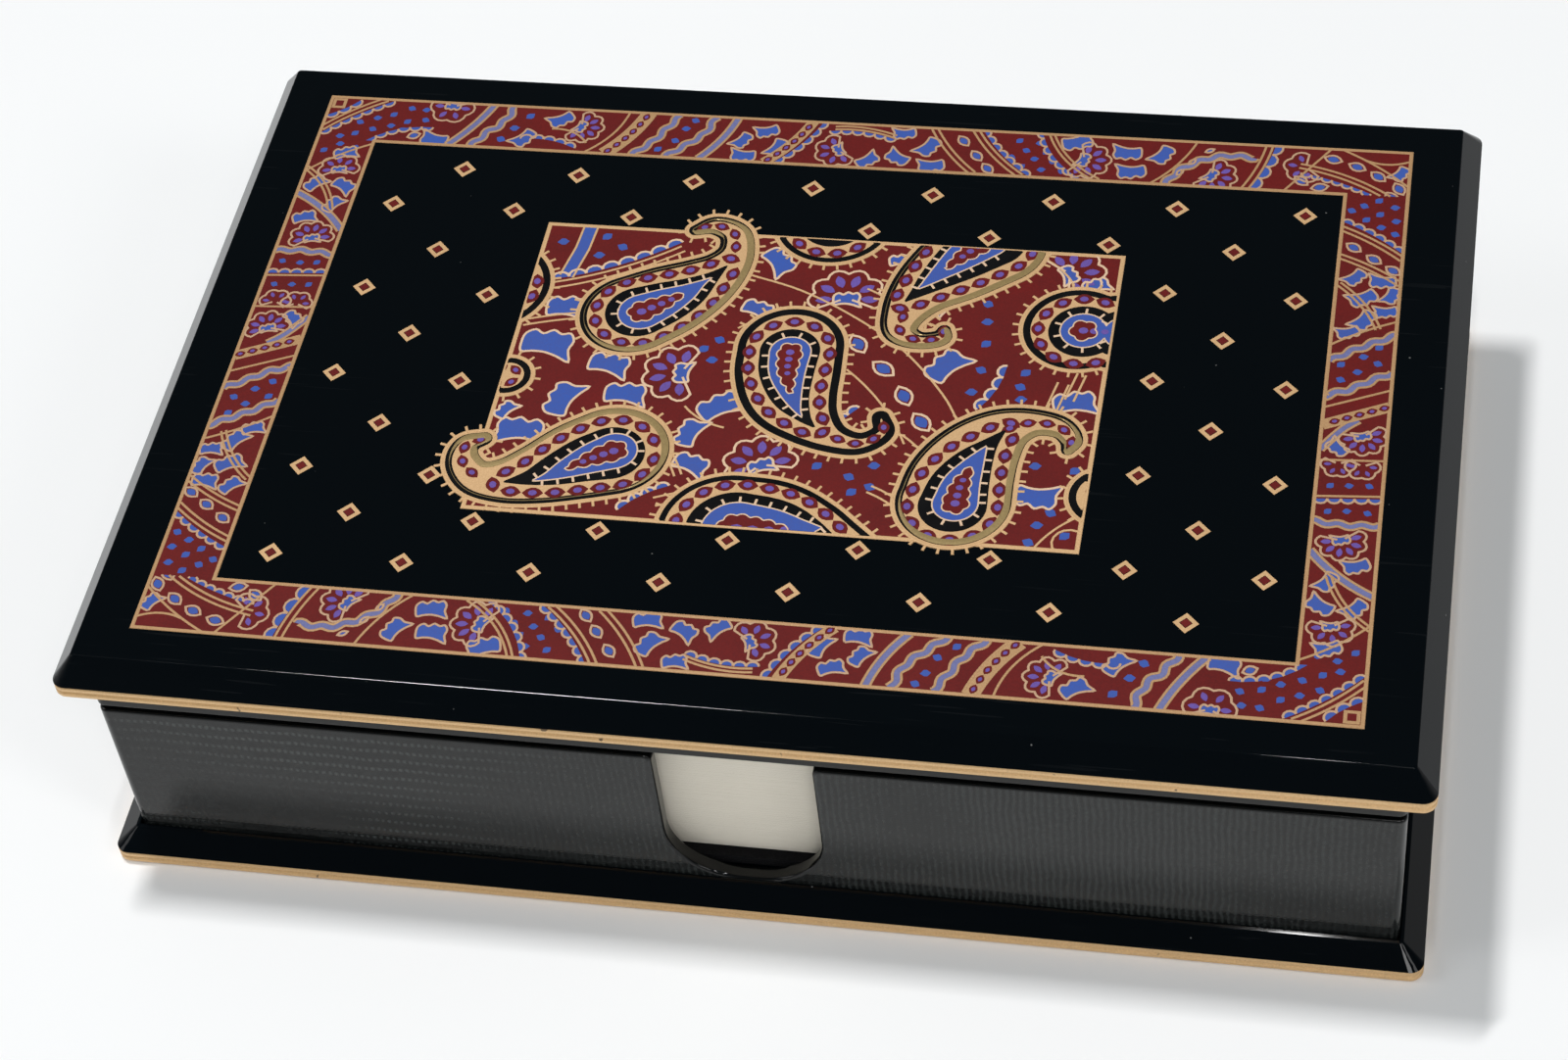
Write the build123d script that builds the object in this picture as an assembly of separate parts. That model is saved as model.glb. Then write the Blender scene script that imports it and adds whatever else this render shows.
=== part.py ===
from build123d import *
from math import cos, radians
import os

# Stationery box for half-letter note paper, in millimetres.
# A covered tray stands on a bevelled base board and is closed by a bevelled lid board with a low rim
# under it. The lid turns on two stop hinges behind the rear wall. The front wall has a thumb notch.
# The origin is under the middle of the box, +X runs to its right, +Y to its back and +Z up.

# Paper that the box is made for
sheet_length = 215.9
sheet_width = 139.7
stack_height = 26.0
paper_end_room = 2.05
paper_rear_room = 0.3
paper_front_room = 2.5

# Plan of the boards and walls
wall_thickness = 3.0
wall_inset = 4.5
wall_corner_radius = 1.6
board_corner_radius = 2.5
bevel_corner_radius = 0.6
lid_edge_radius = 0.4
base_edge_chamfer = 0.3

# Heights from the table up
base_bevel_height = 3.3
base_bevel_inset = 3.9
wall_height = 33.4
parting_gap = 1.0
rim_height = 7.6
lid_bevel_height = 4.6
lid_bevel_inset = 3.7

# Gilt edge band, two beads round each board
band_height = 2.8
band_thickness = 1.2
bead_chamfer = 0.4

# Housing grooves that the walls and the rim stand in
base_groove_depth = 2.0
lid_groove_depth = 1.5
groove_clearance = 0.1

# Top of the walls and bottom of the rim, rounded outside and eased inside
wall_edge_radius = 0.6
rim_edge_radius = 0.6
inner_edge_chamfer = 0.4

# Thumb notch in the front wall
notch_width = 27.8
notch_foot_radius = 12.2
notch_lip_radius = 1.5
notch_floor_height = 0.2

# Linings
felt_thickness = 0.8
felt_margin = 8.0
felt_corner_radius = 3.0
lining_clearance = 0.3
floor_lining_thickness = 1.9
lid_lining_thickness = 0.8

# Felt strips on the side walls that the rim comes down on
bumper_length = 8.0
bumper_width = 1.2
bumper_end_distance = 24.0
bumper_clearance = 0.05

# Hinges, seen with the lid shut: both leaves stand upright on the rear faces
hinge_length = 30.0
hinge_end_distance = 47.5
leaf_thickness = 0.8
leaf_height = 6.6
leaf_corner_chamfer = 1.0
knuckle_radius = 1.7
knuckle_wall_clearance = 0.15
knuckle_end_gap = 0.15
knuckle_leaf_clearance = 0.3
pin_radius = 0.8
pin_running_clearance = 0.03
lid_open_angle = 100.0
stop_reach = 2.4
stop_clearance = 0.03

# Hinge screws, two in each leaf
screw_head_radius = 1.25
screw_shank_radius = 0.6
screw_depth = 2.4
screw_head_depth = 0.6
screw_clearance = 0.04
screw_from_leaf_end = 4.5
screw_from_leaf_edge = 2.2

# How far a cut runs past what it cuts, and how near two places count as one
cut_margin = 1.0
same_place = 0.001

# Overall sizes that follow
cavity_length = sheet_length + 2 * paper_end_room
cavity_depth = sheet_width + paper_rear_room + paper_front_room
wall_length = cavity_length + 2 * wall_thickness
wall_depth = cavity_depth + 2 * wall_thickness
box_length = wall_length + 2 * wall_inset
box_depth = wall_depth + 2 * wall_inset

base_top = band_height + base_bevel_height
wall_top = base_top + wall_height
rim_bottom = wall_top + parting_gap
lid_bottom = rim_bottom + rim_height
lid_top = lid_bottom + band_height + lid_bevel_height
floor_top = base_top + floor_lining_thickness

# Hinge axis, level with the middle of the parting gap and just behind the rear wall
hinge_offset = knuckle_radius + knuckle_wall_clearance
hinge_axis_y = wall_depth / 2 + hinge_offset
hinge_axis_z = wall_top + parting_gap / 2
hinge_places = {
    "left": -(wall_length / 2 - hinge_end_distance),
    "right": wall_length / 2 - hinge_end_distance,
}
knuckle_length = (hinge_length - 2 * knuckle_end_gap) / 3
screw_x_offsets = [-(hinge_length / 2 - screw_from_leaf_end), hinge_length / 2 - screw_from_leaf_end]
screw_z_offset = leaf_height - screw_from_leaf_edge

upright = (Align.CENTER, Align.CENTER, Align.MIN)
nodes = {}


def plan(inset, radius):
    """Rounded outline of the box, drawn in by an inset all round."""
    return RectangleRounded(box_length - 2 * inset, box_depth - 2 * inset, radius)


def block(low, high):
    """Plain block between two corners."""
    size = [b - a for a, b in zip(low, high)]
    return Pos(*low) * Box(*size, align=(Align.MIN, Align.MIN, Align.MIN))


def side_wedges():
    """Prisms that part a frame into its front, rear, left and right along the mitres."""
    reach_x = box_length / 2 + wall_inset
    reach_y = box_depth / 2 + wall_inset
    ridge_x = reach_x - reach_y
    front_left = (-reach_x, -reach_y)
    front_right = (reach_x, -reach_y)
    rear_left = (-reach_x, reach_y)
    rear_right = (reach_x, reach_y)
    ridge_left = (-ridge_x, 0)
    ridge_right = (ridge_x, 0)
    outlines = {
        "front": (front_left, front_right, ridge_right, ridge_left),
        "rear": (rear_right, rear_left, ridge_left, ridge_right),
        "left": (rear_left, front_left, ridge_left),
        "right": (front_right, rear_right, ridge_right),
    }
    faces = {side: make_face(Polyline(*points, close=True)) for side, points in outlines.items()}
    return {side: extrude(face, lid_top) for side, face in faces.items()}


def make_board(bottom, bevel_height, bevel_inset):
    """Board with a rebate for its edge band and a mitred bevel above it, sharp along its top edge."""
    bevel_bottom = bottom + band_height
    core_radius = max(board_corner_radius - band_thickness, bevel_corner_radius)
    core = extrude(Pos(0, 0, bottom) * plan(band_thickness, core_radius), band_height)
    low = Pos(0, 0, bevel_bottom) * plan(0, board_corner_radius)
    high = Pos(0, 0, bevel_bottom + bevel_height) * plan(bevel_inset, bevel_corner_radius)
    return core + loft([low, high], ruled=True)


def end_edges(shape, index):
    """Edges round the lowest face (0) or the highest face (-1) of a shape."""
    return shape.faces().sort_by(Axis.Z)[index].edges()


def make_groove(bottom, depth):
    """Ring that is cut from a board to house the foot of the walls or the head of the rim."""
    outer = Rectangle(wall_length + 2 * groove_clearance, wall_depth + 2 * groove_clearance)
    inner = Rectangle(cavity_length - 2 * groove_clearance, cavity_depth - 2 * groove_clearance)
    return extrude(Pos(0, 0, bottom) * (outer - inner), depth)


def make_frame(bottom, height):
    """Mitred frame as one ring, as thick as the walls."""
    outer = RectangleRounded(wall_length, wall_depth, wall_corner_radius)
    inner = Rectangle(cavity_length, cavity_depth)
    return extrude(Pos(0, 0, bottom) * (outer - inner), height)


def add_sides(name, ring):
    """Part a ring at its mitres and keep each side as a node."""
    for side, wedge in side_wedges().items():
        nodes[f"{name}_{side}"] = ring & wedge


def make_band(bottom):
    """Edge band of two chamfered beads, one above the other, let into the board's rebate."""
    bead_height = band_height / 2
    inner_radius = max(board_corner_radius - band_thickness, bevel_corner_radius)
    ring_plan = plan(0, board_corner_radius) - plan(band_thickness, inner_radius)
    bead = extrude(ring_plan, bead_height)
    outer_edges = [edge for edge in bead.edges() if is_outer_edge(edge)]
    bead = chamfer(outer_edges, bead_chamfer)
    return Pos(0, 0, bottom) * bead + Pos(0, 0, bottom + bead_height) * bead


def is_outer_edge(edge):
    """True for a level edge that runs round the outside of the band."""
    middle = edge.position_at(0.5)
    level = abs(edge.position_at(0).Z - edge.position_at(1).Z) < same_place
    corner_draw_in = board_corner_radius * (1 - cos(radians(45)))
    reach_x = box_length / 2 - abs(middle.X)
    reach_y = box_depth / 2 - abs(middle.Y)
    return level and min(reach_x, reach_y) < corner_draw_in + same_place


def make_notch():
    """Thumb notch: straight sides, a round foot and a mouth open at the top."""
    notch_bottom = base_top + notch_floor_height
    mouth = wall_top + parting_gap
    height = mouth - notch_bottom
    outline = Rectangle(notch_width, height, align=(Align.CENTER, Align.MIN))
    foot = outline.vertices().group_by(Axis.Y)[0]
    outline = fillet(foot, min(notch_foot_radius, notch_width / 2 - same_place))
    behind_wall = cut_margin - cavity_depth / 2
    forwards = Plane(origin=(0, behind_wall, notch_bottom), x_dir=(1, 0, 0), z_dir=(0, -1, 0))
    return extrude(forwards * outline, wall_thickness + 2 * cut_margin)


def is_lip_edge(edge):
    """True for the two edges through the wall where the notch meets the wall's top."""
    middle = edge.center()
    beside_notch = abs(abs(middle.X) - notch_width / 2) < same_place
    through_wall = edge.length < wall_thickness + same_place
    return beside_notch and through_wall and abs(middle.Z - wall_top) < same_place


def is_mouth_edge(edge):
    """True for the edges along the walls' tops and down round the notch, on both faces of the wall."""
    middle = edge.center()
    start, end = edge.position_at(0), edge.position_at(1)
    mouth_half = notch_width / 2 + notch_lip_radius
    if abs(middle.X) < mouth_half + same_place and middle.Y < 0 and middle.Z > base_top:
        return abs(start.Y - end.Y) < same_place
    return min(start.Z, end.Z) > wall_top - same_place


def is_inner_edge(edge):
    """True for an edge on the cavity's side of a frame."""
    middle = edge.center()
    past_x = abs(middle.X) - cavity_length / 2
    past_y = abs(middle.Y) - cavity_depth / 2
    return max(past_x, past_y) < same_place


def ease_edges(frame, edges, radius):
    """Round a frame's edges outside and chamfer them inside."""
    frame = fillet([edge for edge in edges if not is_inner_edge(edge)], radius)
    places = [edge.center() for edge in edges if is_inner_edge(edge)]
    inner = []
    for edge in frame.edges():
        if any((edge.center() - place).length < same_place for place in places):
            inner.append(edge)
    return chamfer(inner, inner_edge_chamfer)


def screw_holes(direction):
    """Pilot holes for the screws of both leaves on one side of the axis: up is 1 and down is -1."""
    holes = []
    for centre in hinge_places.values():
        for offset in screw_x_offsets:
            place = Pos(centre + offset, wall_depth / 2, hinge_axis_z + direction * screw_z_offset)
            radius = screw_shank_radius + screw_clearance
            hole = Cylinder(radius, screw_depth, align=upright)
            holes.append(place * Rot(90, 0, 0) * hole)
    return holes


# Base board, with a groove for the walls and a recess for the felt
base_board = make_board(0, base_bevel_height, base_bevel_inset)
base_board = chamfer(end_edges(base_board, -1), base_edge_chamfer)
base_board -= make_groove(base_top - base_groove_depth, base_groove_depth)
base_board -= extrude(plan(felt_margin, felt_corner_radius), felt_thickness)
nodes["base_board"] = base_board
felt_inset = felt_margin + lining_clearance
nodes["base_felt"] = extrude(plan(felt_inset, felt_corner_radius - lining_clearance), felt_thickness)
add_sides("base_band", make_band(0))

# Tray walls, with the thumb notch and rounded edges along the top and down into the notch
walls = make_frame(base_top - base_groove_depth, base_groove_depth + wall_height) - make_notch()
walls = fillet([edge for edge in walls.edges() if is_lip_edge(edge)], notch_lip_radius)
walls = ease_edges(walls, [edge for edge in walls.edges() if is_mouth_edge(edge)], wall_edge_radius)
for hole in screw_holes(-1):
    walls -= hole
add_sides("tray_wall", walls)

# Floor lining and the stack of sheets, pushed back against the rear wall
lining_length = cavity_length - 2 * lining_clearance
lining_depth = cavity_depth - 2 * lining_clearance
lining_plan = Rectangle(lining_length, lining_depth)
nodes["floor_lining"] = extrude(Pos(0, 0, base_top) * lining_plan, floor_lining_thickness)
stack_middle_y = cavity_depth / 2 - paper_rear_room - sheet_width / 2
sheet = Rectangle(sheet_length, sheet_width)
nodes["note_paper_stack"] = extrude(Pos(0, stack_middle_y, floor_top) * sheet, stack_height)

# Felt strips along the middle of the side walls' tops
bumpers = []
strip = Box(bumper_width, bumper_length, parting_gap - bumper_clearance, align=upright)
for side in (-1, 1):
    for end in (-1, 1):
        strip_x = side * (wall_length - wall_thickness) / 2
        strip_y = end * (wall_depth / 2 - bumper_end_distance)
        bumpers.append(Pos(strip_x, strip_y, wall_top) * strip)
nodes["lid_bumpers"] = Compound(bumpers)

# Lid board, with its rim under it, and the lining inside the rim
lid_board = make_board(lid_bottom, lid_bevel_height, lid_bevel_inset)
lid_board = fillet(end_edges(lid_board, -1), lid_edge_radius)
lid_board -= make_groove(lid_bottom, lid_groove_depth)
nodes["lid_board"] = lid_board
add_sides("lid_band", make_band(lid_bottom))
rim = make_frame(rim_bottom, rim_height + lid_groove_depth)
rim = ease_edges(rim, end_edges(rim, 0), rim_edge_radius)
for hole in screw_holes(1):
    rim -= hole
add_sides("lid_rail", rim)
nodes["lid_lining"] = extrude(
    Pos(0, 0, lid_bottom - lid_lining_thickness) * lining_plan,
    lid_lining_thickness,
)


def knuckle(start, length):
    """Barrel piece on the hinge axis, from one end along X."""
    return Pos(start, 0, 0) * Rot(0, 90, 0) * Cylinder(knuckle_radius, length, align=upright)


def leaf_plate(direction):
    """Upright plate of a leaf, with its far corners cut off, above the axis or below it."""
    middle = Rectangle(hinge_length, leaf_height, align=(Align.CENTER, Align.MIN))
    middle = chamfer(middle.vertices().group_by(Axis.Y)[-1], leaf_corner_chamfer)
    back = Plane(origin=(0, leaf_thickness - hinge_offset, 0), x_dir=(1, 0, 0), z_dir=(0, -1, 0))
    plate = extrude(back * middle, leaf_thickness)
    if direction < 0:
        plate = mirror(plate, about=Plane.XY)
    return plate


def knuckle_room(start, length):
    """Space that a leaf leaves free round a knuckle of the other leaf."""
    reach = knuckle_radius + knuckle_leaf_clearance
    first, last = start - knuckle_end_gap, start + length + knuckle_end_gap
    return block((first, -reach, -reach), (last, reach, reach))


def leaf_holes(direction):
    """Countersunk screw holes of a leaf."""
    holes = []
    for offset in screw_x_offsets:
        place = Pos(offset, leaf_thickness - hinge_offset, direction * screw_z_offset) * Rot(-90, 0, 0)
        straight = Cylinder(screw_shank_radius + screw_clearance, 2 * (leaf_thickness + cut_margin))
        sink_depth = screw_head_depth + screw_clearance
        sink = Pos(0, 0, -sink_depth / 2) * Cone(
            screw_shank_radius + screw_clearance,
            screw_head_radius + screw_clearance,
            sink_depth,
        )
        holes.append(place * (straight + sink))
    return holes


def stop_lug(start, length):
    """Lug behind a tray knuckle that the lid leaf lands on when the lid is fully open."""
    face_distance = hinge_offset - leaf_thickness - stop_clearance
    lug = block((start, 0, 0), (start + length, stop_reach, face_distance))
    return Rot(90 - lid_open_angle, 0, 0) * lug


def finish_leaf(leaf, direction):
    """Bore a leaf for the pin and drill its screw holes."""
    bore = Rot(0, 90, 0) * Cylinder(pin_radius + pin_running_clearance, hinge_length + 2 * cut_margin)
    leaf = leaf - bore
    for hole in leaf_holes(direction):
        leaf -= hole
    return leaf


def make_screw():
    """Countersunk screw, its head at the origin and its point down."""
    shank_end = leaf_thickness + screw_depth - screw_clearance
    profile = Polyline(
        (0, 0),
        (screw_head_radius, 0),
        (screw_shank_radius, -screw_head_depth),
        (screw_shank_radius, -shank_end),
        (0, -shank_end),
        close=True,
    )
    return revolve(make_face(Plane.XZ * profile), Axis.Z)


# Hinges: the tray leaf has the two outer knuckles, the lid leaf the middle one
starts = [-hinge_length / 2 + i * (knuckle_length + knuckle_end_gap) for i in range(3)]
tray_leaf = leaf_plate(-1) - knuckle_room(starts[1], knuckle_length)
for start in (starts[0], starts[2]):
    tray_leaf += knuckle(start, knuckle_length) + stop_lug(start, knuckle_length)
tray_leaf = finish_leaf(tray_leaf, -1)
lid_leaf = leaf_plate(1)
for start in (starts[0], starts[2]):
    lid_leaf -= knuckle_room(start, knuckle_length)
lid_leaf = finish_leaf(lid_leaf + knuckle(starts[1], knuckle_length), 1)

pin = Rot(0, 90, 0) * Cylinder(pin_radius, hinge_length)

for side, centre in hinge_places.items():
    place = Pos(centre, hinge_axis_y, hinge_axis_z)
    nodes[f"hinge_tray_leaf_{side}"] = place * tray_leaf
    nodes[f"hinge_lid_leaf_{side}"] = place * lid_leaf
    nodes[f"hinge_pin_{side}"] = place * pin

screw = make_screw()
for name, direction in (("hinge_tray_screws", -1), ("hinge_lid_screws", 1)):
    screws = []
    for centre in hinge_places.values():
        for offset in screw_x_offsets:
            head_y = wall_depth / 2 + leaf_thickness
            place = Pos(centre + offset, head_y, hinge_axis_z + direction * screw_z_offset)
            screws.append(place * Rot(-90, 0, 0) * screw)
    nodes[name] = Compound(screws)

os.makedirs("parts", exist_ok=True)
for name, shape in nodes.items():
    export_step(shape, f"parts/{name}.step")
print(f"box {box_length:.2f} by {box_depth:.2f} by {lid_top:.2f} mm")
print(f"hinge axis at y {hinge_axis_y:.2f} z {hinge_axis_z:.2f}, screws off it by {screw_z_offset:.2f}")
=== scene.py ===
"""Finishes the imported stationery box: lacquer, linen, gilding, note paper and the relief ornament on its lid.

Sizes in the ornament are in millimetres on the lid's face: x to the right, y to the back, from its middle.
"""

import logging
import math
import random
from dataclasses import dataclass, field
from enum import Enum, IntEnum
from functools import partial, reduce

import bpy
import numpy as np
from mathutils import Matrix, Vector


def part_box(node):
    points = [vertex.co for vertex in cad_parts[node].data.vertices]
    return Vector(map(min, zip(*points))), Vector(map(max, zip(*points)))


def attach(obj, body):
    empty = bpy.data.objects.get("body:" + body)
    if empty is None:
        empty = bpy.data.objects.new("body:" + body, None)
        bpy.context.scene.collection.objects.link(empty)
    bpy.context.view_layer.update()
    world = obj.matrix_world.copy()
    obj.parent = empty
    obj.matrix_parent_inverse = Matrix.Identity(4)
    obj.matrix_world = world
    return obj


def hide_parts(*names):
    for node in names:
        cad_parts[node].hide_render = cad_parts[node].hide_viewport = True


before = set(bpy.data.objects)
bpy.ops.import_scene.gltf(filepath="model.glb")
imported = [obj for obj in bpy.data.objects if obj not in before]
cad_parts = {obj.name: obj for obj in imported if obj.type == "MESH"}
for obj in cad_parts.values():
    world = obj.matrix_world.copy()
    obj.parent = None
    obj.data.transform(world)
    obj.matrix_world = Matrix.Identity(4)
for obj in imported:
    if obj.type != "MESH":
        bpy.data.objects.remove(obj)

LOG = logging.getLogger("stationery_box")
MM = 0.001
TINY = 1e-9
SPINE_STEPS = 14
FEWEST_CROSSINGS = 8
LOWEST_LAYER = 0.03
LAYER_STEP = 0.013

Point = tuple[float, float]
Spot = tuple[float, float, float]
Loop = list[Point]
Run = tuple[Loop, bool]
Socket = bpy.types.NodeSocket
Number = Socket | float
Colour = tuple[float, float, float]


class Body(Enum):
    """The two bodies that the hinge joins."""

    TRAY = "tray"
    LID = "lid"


class Layer(IntEnum):
    """The order in which the ornament's layers lie on the lacquer, lowest first."""

    GROUND = 1
    ENAMEL = 2
    PETAL = 3
    LINE = 4
    EDGE = 8
    CONTOUR = 9
    BAND = 10
    BEAD = 11
    TEARDROP = 12
    LEAF = 13
    KERNEL = 14
    DROP = 15

    @property
    def height(self) -> float:
        """Height of the layer's face above the lacquer."""
        return LOWEST_LAYER + LAYER_STEP * int(self)


def linear(*screen: int) -> Colour:
    """Turns a screen's red, green and blue, from 0 to 255, into the linear ones that a shader takes."""
    shares = [value / 255 for value in screen]
    return tuple(s / 12.92 if s <= 0.04045 else ((s + 0.055) / 1.055) ** 2.4 for s in shares)


# Shader nodes


class Wiring:
    """Adds nodes to one node tree and joins them up."""

    def __init__(self, tree: bpy.types.NodeTree) -> None:
        """Takes the tree that the nodes go into."""
        self.tree = tree

    def feed(self, entry: Socket, value: Number | Colour) -> None:
        """Joins a socket to an input, or sets the input to a plain value.

        Args:
            entry: The input.
            value: The socket or the value.
        """
        if isinstance(value, Socket):
            self.tree.links.new(value, entry)
        else:
            entry.default_value = value

    def add(self, kind: str, inputs: dict | None = None, **settings) -> bpy.types.Node:
        """Adds a node.

        Args:
            kind: The node's type, without the ShaderNode in front.
            inputs: Values or sockets for its inputs, by name or number.
            **settings: Its other settings.

        Returns:
            The node.
        """
        node = self.tree.nodes.new("ShaderNode" + kind)
        for name, value in settings.items():
            setattr(node, name, value)
        for key, value in (inputs or {}).items():
            self.feed(node.inputs[key], value)
        return node

    def effect(self, tree: bpy.types.NodeTree, **values: float) -> bpy.types.NodeOutputs:
        """Places a shared effect, whose inputs are named with _ for a blank, and returns its outputs."""
        inputs = {name.replace("_", " "): value for name, value in values.items()}
        return self.add("Group", inputs, node_tree=tree).outputs

    def place(self) -> Socket:
        """Coordinates on the piece, in metres."""
        return self.add("TexCoord").outputs["Object"]

    def axes(self, vector: Socket) -> bpy.types.NodeOutputs:
        """A vector's x, y and z."""
        return self.add("SeparateXYZ", {0: vector}).outputs

    def stretched(self, place: Socket, scale: Spot, turn: float = 0.0) -> Socket:
        """Coordinates stretched along their axes and turned about z."""
        return self.add("Mapping", {0: place, "Rotation": (0.0, 0.0, turn), "Scale": scale}).outputs[0]

    def math(self, operation: str, first: Number, second: Number = 0.0) -> Socket:
        """Works out one number from two, by the name of a Math node's operation."""
        return self.add("Math", {0: first, 1: second}, operation=operation).outputs[0]

    def times(self, *values: Number) -> Socket:
        """Multiplies numbers, from the left."""
        return reduce(partial(self.math, "MULTIPLY"), values)

    def plus(self, *values: Number) -> Socket:
        """Adds numbers up, from the left."""
        return reduce(partial(self.math, "ADD"), values)

    def span(self, value: Socket, low: float, high: float, to_low: float = 0.0,
             to_high: float = 1.0) -> Socket:
        """Maps a value from the range low to high to another range, and holds it at the ends."""
        return self.add("MapRange", {0: value, 1: low, 2: high, 3: to_low, 4: to_high}).outputs[0]

    def mix(self, factor: Number, first: Socket | Colour, second: Socket | Colour) -> Socket:
        """Mixes two colours by the second one's share."""
        ends = [c if isinstance(c, Socket) else (*c, 1.0) for c in (first, second)]
        return self.add("Mix", {0: factor, 6: ends[0], 7: ends[1]}, data_type="RGBA").outputs[2]

    def wave(self, line: Socket, pitch: Number) -> Socket:
        """Turns a distance into an even wave from 0 to 1, of this pitch."""
        turns = self.math("DIVIDE", line, pitch)
        return self.span(self.math("SINE", self.times(turns, math.tau)), -1.0, 1.0)

    def noise(self, place: Socket, scale: Number, detail: float = 2.0) -> Socket:
        """A noise, about 0.5 in the middle, with so many features to the metre and so many finer octaves."""
        return self.add("TexNoise", {"Vector": place, "Scale": scale, "Detail": detail}).outputs[0]

    def bump(self, height: Socket, depth: float, strength: float) -> Socket:
        """A normal raised by a height map, where a height of 1 stands for the depth in metres."""
        return self.add("Bump", {"Strength": strength, "Distance": depth, "Height": height}).outputs[0]


def new_group(name: str, inputs: dict[str, float], outputs: tuple[str, ...]) -> tuple:
    """Starts a shader node group.

    Args:
        name: The group's name.
        inputs: Its number inputs and what they are unless set.
        outputs: Its number outputs.

    Returns:
        The wiring for its nodes, what its inputs give, and what its outputs take.
    """
    tree = bpy.data.node_groups.new(name, "ShaderNodeTree")
    new_socket = partial(tree.interface.new_socket, socket_type="NodeSocketFloat")
    for socket, value in inputs.items():
        new_socket(socket, in_out="INPUT").default_value = value
    for socket in outputs:
        new_socket(socket, in_out="OUTPUT")
    given, made = (tree.nodes.new(f"NodeGroup{side}") for side in ("Input", "Output"))
    return Wiring(tree), given.outputs, made.inputs


def handling_group() -> bpy.types.NodeTree:
    """Marks of use: wide smudges, fine straight scratches and dust specks, each as a mask from 0 to 1."""
    shares = {"Scratch Share": 0.5, "Speck Share": 0.5}
    wire, given, made = new_group("handling_marks", shares, ("Smudge", "Scratch", "Speck"))
    place = wire.place()
    lines: list[Socket] = []
    for turn, stretch in ((0.05, 26.0), (0.9, 34.0), (-0.6, 30.0)):
        turned = wire.stretched(place, (1.0, stretch, stretch), turn)
        lines.append(wire.span(wire.noise(turned, 42.0, 1.0), 0.715, 0.74))
    scratches = reduce(partial(wire.math, "MAXIMUM"), lines)
    patches = wire.span(wire.noise(place, 17.0, 1.0), 0.5, 0.62)
    cells = wire.add("TexVoronoi", {"Vector": place, "Scale": 260.0, "Randomness": 1.0})
    near = wire.span(cells.outputs["Distance"], 0.05, 0.02)
    chosen = wire.span(wire.noise(place, 300.0, 0.0), 0.62, 0.66)
    wire.feed(made["Smudge"], wire.span(wire.noise(place, 28.0, 4.0), 0.35, 0.72))
    wire.feed(made["Scratch"], wire.times(scratches, patches, given["Scratch Share"]))
    wire.feed(made["Speck"], wire.times(near, chosen, given["Speck Share"]))
    return wire.tree


def weave_group() -> bpy.types.NodeTree:
    """A linen weave on upright faces: its thread height, and the share of a painted glint colour (fine flecks,
    upright ribs towards the right and rows of dots on the left), where painted highlights stand in for light
    catching the threads.
    """
    pitches = {"Rib Pitch": 0.0012, "Row Pitch": 0.0026}
    wire, given, made = new_group("linen_weave", pitches, ("Height", "Glint Share"))
    coordinates = wire.add("TexCoord").outputs
    place = coordinates["Object"]
    x, y, z = wire.axes(place)
    tilt = wire.math("ABSOLUTE", wire.axes(coordinates["Normal"])[2])
    upright = wire.span(tilt, 0.3, 0.1)
    wobble = wire.span(wire.noise(place, 160.0), 0.0, 1.0, -0.0006, 0.0006)
    up = wire.plus(z, wobble)
    ribs = wire.wave(wire.plus(x, y, wobble), given["Rib Pitch"])
    threads = wire.wave(up, wire.times(given["Rib Pitch"], 0.5))
    rows = wire.span(wire.wave(up, given["Row Pitch"]), 0.6, 1.0)
    flecks = wire.span(wire.noise(place, 1500.0, 1.0), 0.35, 0.7)
    # painted highlights: rows of glinting dots on the wall's left part and bright ribs towards the right,
    # placed where light catches the weave
    dotted_part = wire.times(wire.span(wire.noise(place, 19.0, 1.0), 0.40, 0.56), wire.span(x, -0.02, -0.06))
    ribbed_part = wire.times(wire.span(wire.noise(place, 26.0, 1.0), 0.78, 0.50), wire.span(x, -0.06, 0.0))
    dots = wire.times(rows, ribs, wire.times(dotted_part, 1.2))
    stripes = wire.times(ribs, ribbed_part, 0.45)
    mesh = wire.times(flecks, wire.span(threads, 0.0, 1.0, 0.5, 1.0), 0.3)
    wire.feed(made["Height"], wire.times(wire.plus(wire.times(ribs, threads), dots), upright))
    wire.feed(made["Glint Share"], wire.times(wire.plus(mesh, wire.plus(dots, stripes)), upright))
    return wire.tree


def grain_group() -> bpy.types.NodeTree:
    """The fine speckle and slow unevenness of a printed or painted surface."""
    wire, given, made = new_group("print_grain", {"Size": 2600.0}, ("Speckle", "Cloud"))
    place = wire.place()
    wire.feed(made["Speckle"], wire.span(wire.noise(place, given["Size"], 1.0), 0.3, 0.7))
    wire.feed(made["Cloud"], wire.span(wire.noise(place, 90.0, 3.0), 0.3, 0.7))
    return wire.tree


@dataclass(frozen=True)
class Effects:
    """The node groups that several finishes share, each made once."""

    handling: bpy.types.NodeTree = field(default_factory=handling_group)
    weave: bpy.types.NodeTree = field(default_factory=weave_group)
    grain: bpy.types.NodeTree = field(default_factory=grain_group)


EFFECTS = Effects()


@dataclass(frozen=True)
class Finish:
    """What every finish has: a name, a colour, a roughness and the way to its material."""

    name: str
    colour: Colour
    roughness: float

    def draw(self, wire: Wiring) -> dict[str, Number]:
        """Adds the finish's own nodes, and returns what goes into the shader's inputs, by their names."""
        raise NotImplementedError

    def rough(self, wire: Wiring, mask: Socket, more: float) -> Socket:
        """The roughness, which rises by so much with a mask."""
        return wire.span(mask, 0.0, 1.0, self.roughness, self.roughness + more)

    def make(self) -> bpy.types.Material:
        """Makes the material round one shader.

        Returns:
            The material.
        """
        made = bpy.data.materials.new(self.name)
        made.use_nodes = True
        wire = Wiring(made.node_tree)
        shader = made.node_tree.nodes["Principled BSDF"].inputs
        plain = {"Base Color": (*self.colour, 1.0), "Roughness": self.roughness}
        for name, value in (*plain.items(), *self.draw(wire).items()):
            wire.feed(shader[name], value)
        return made


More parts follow.
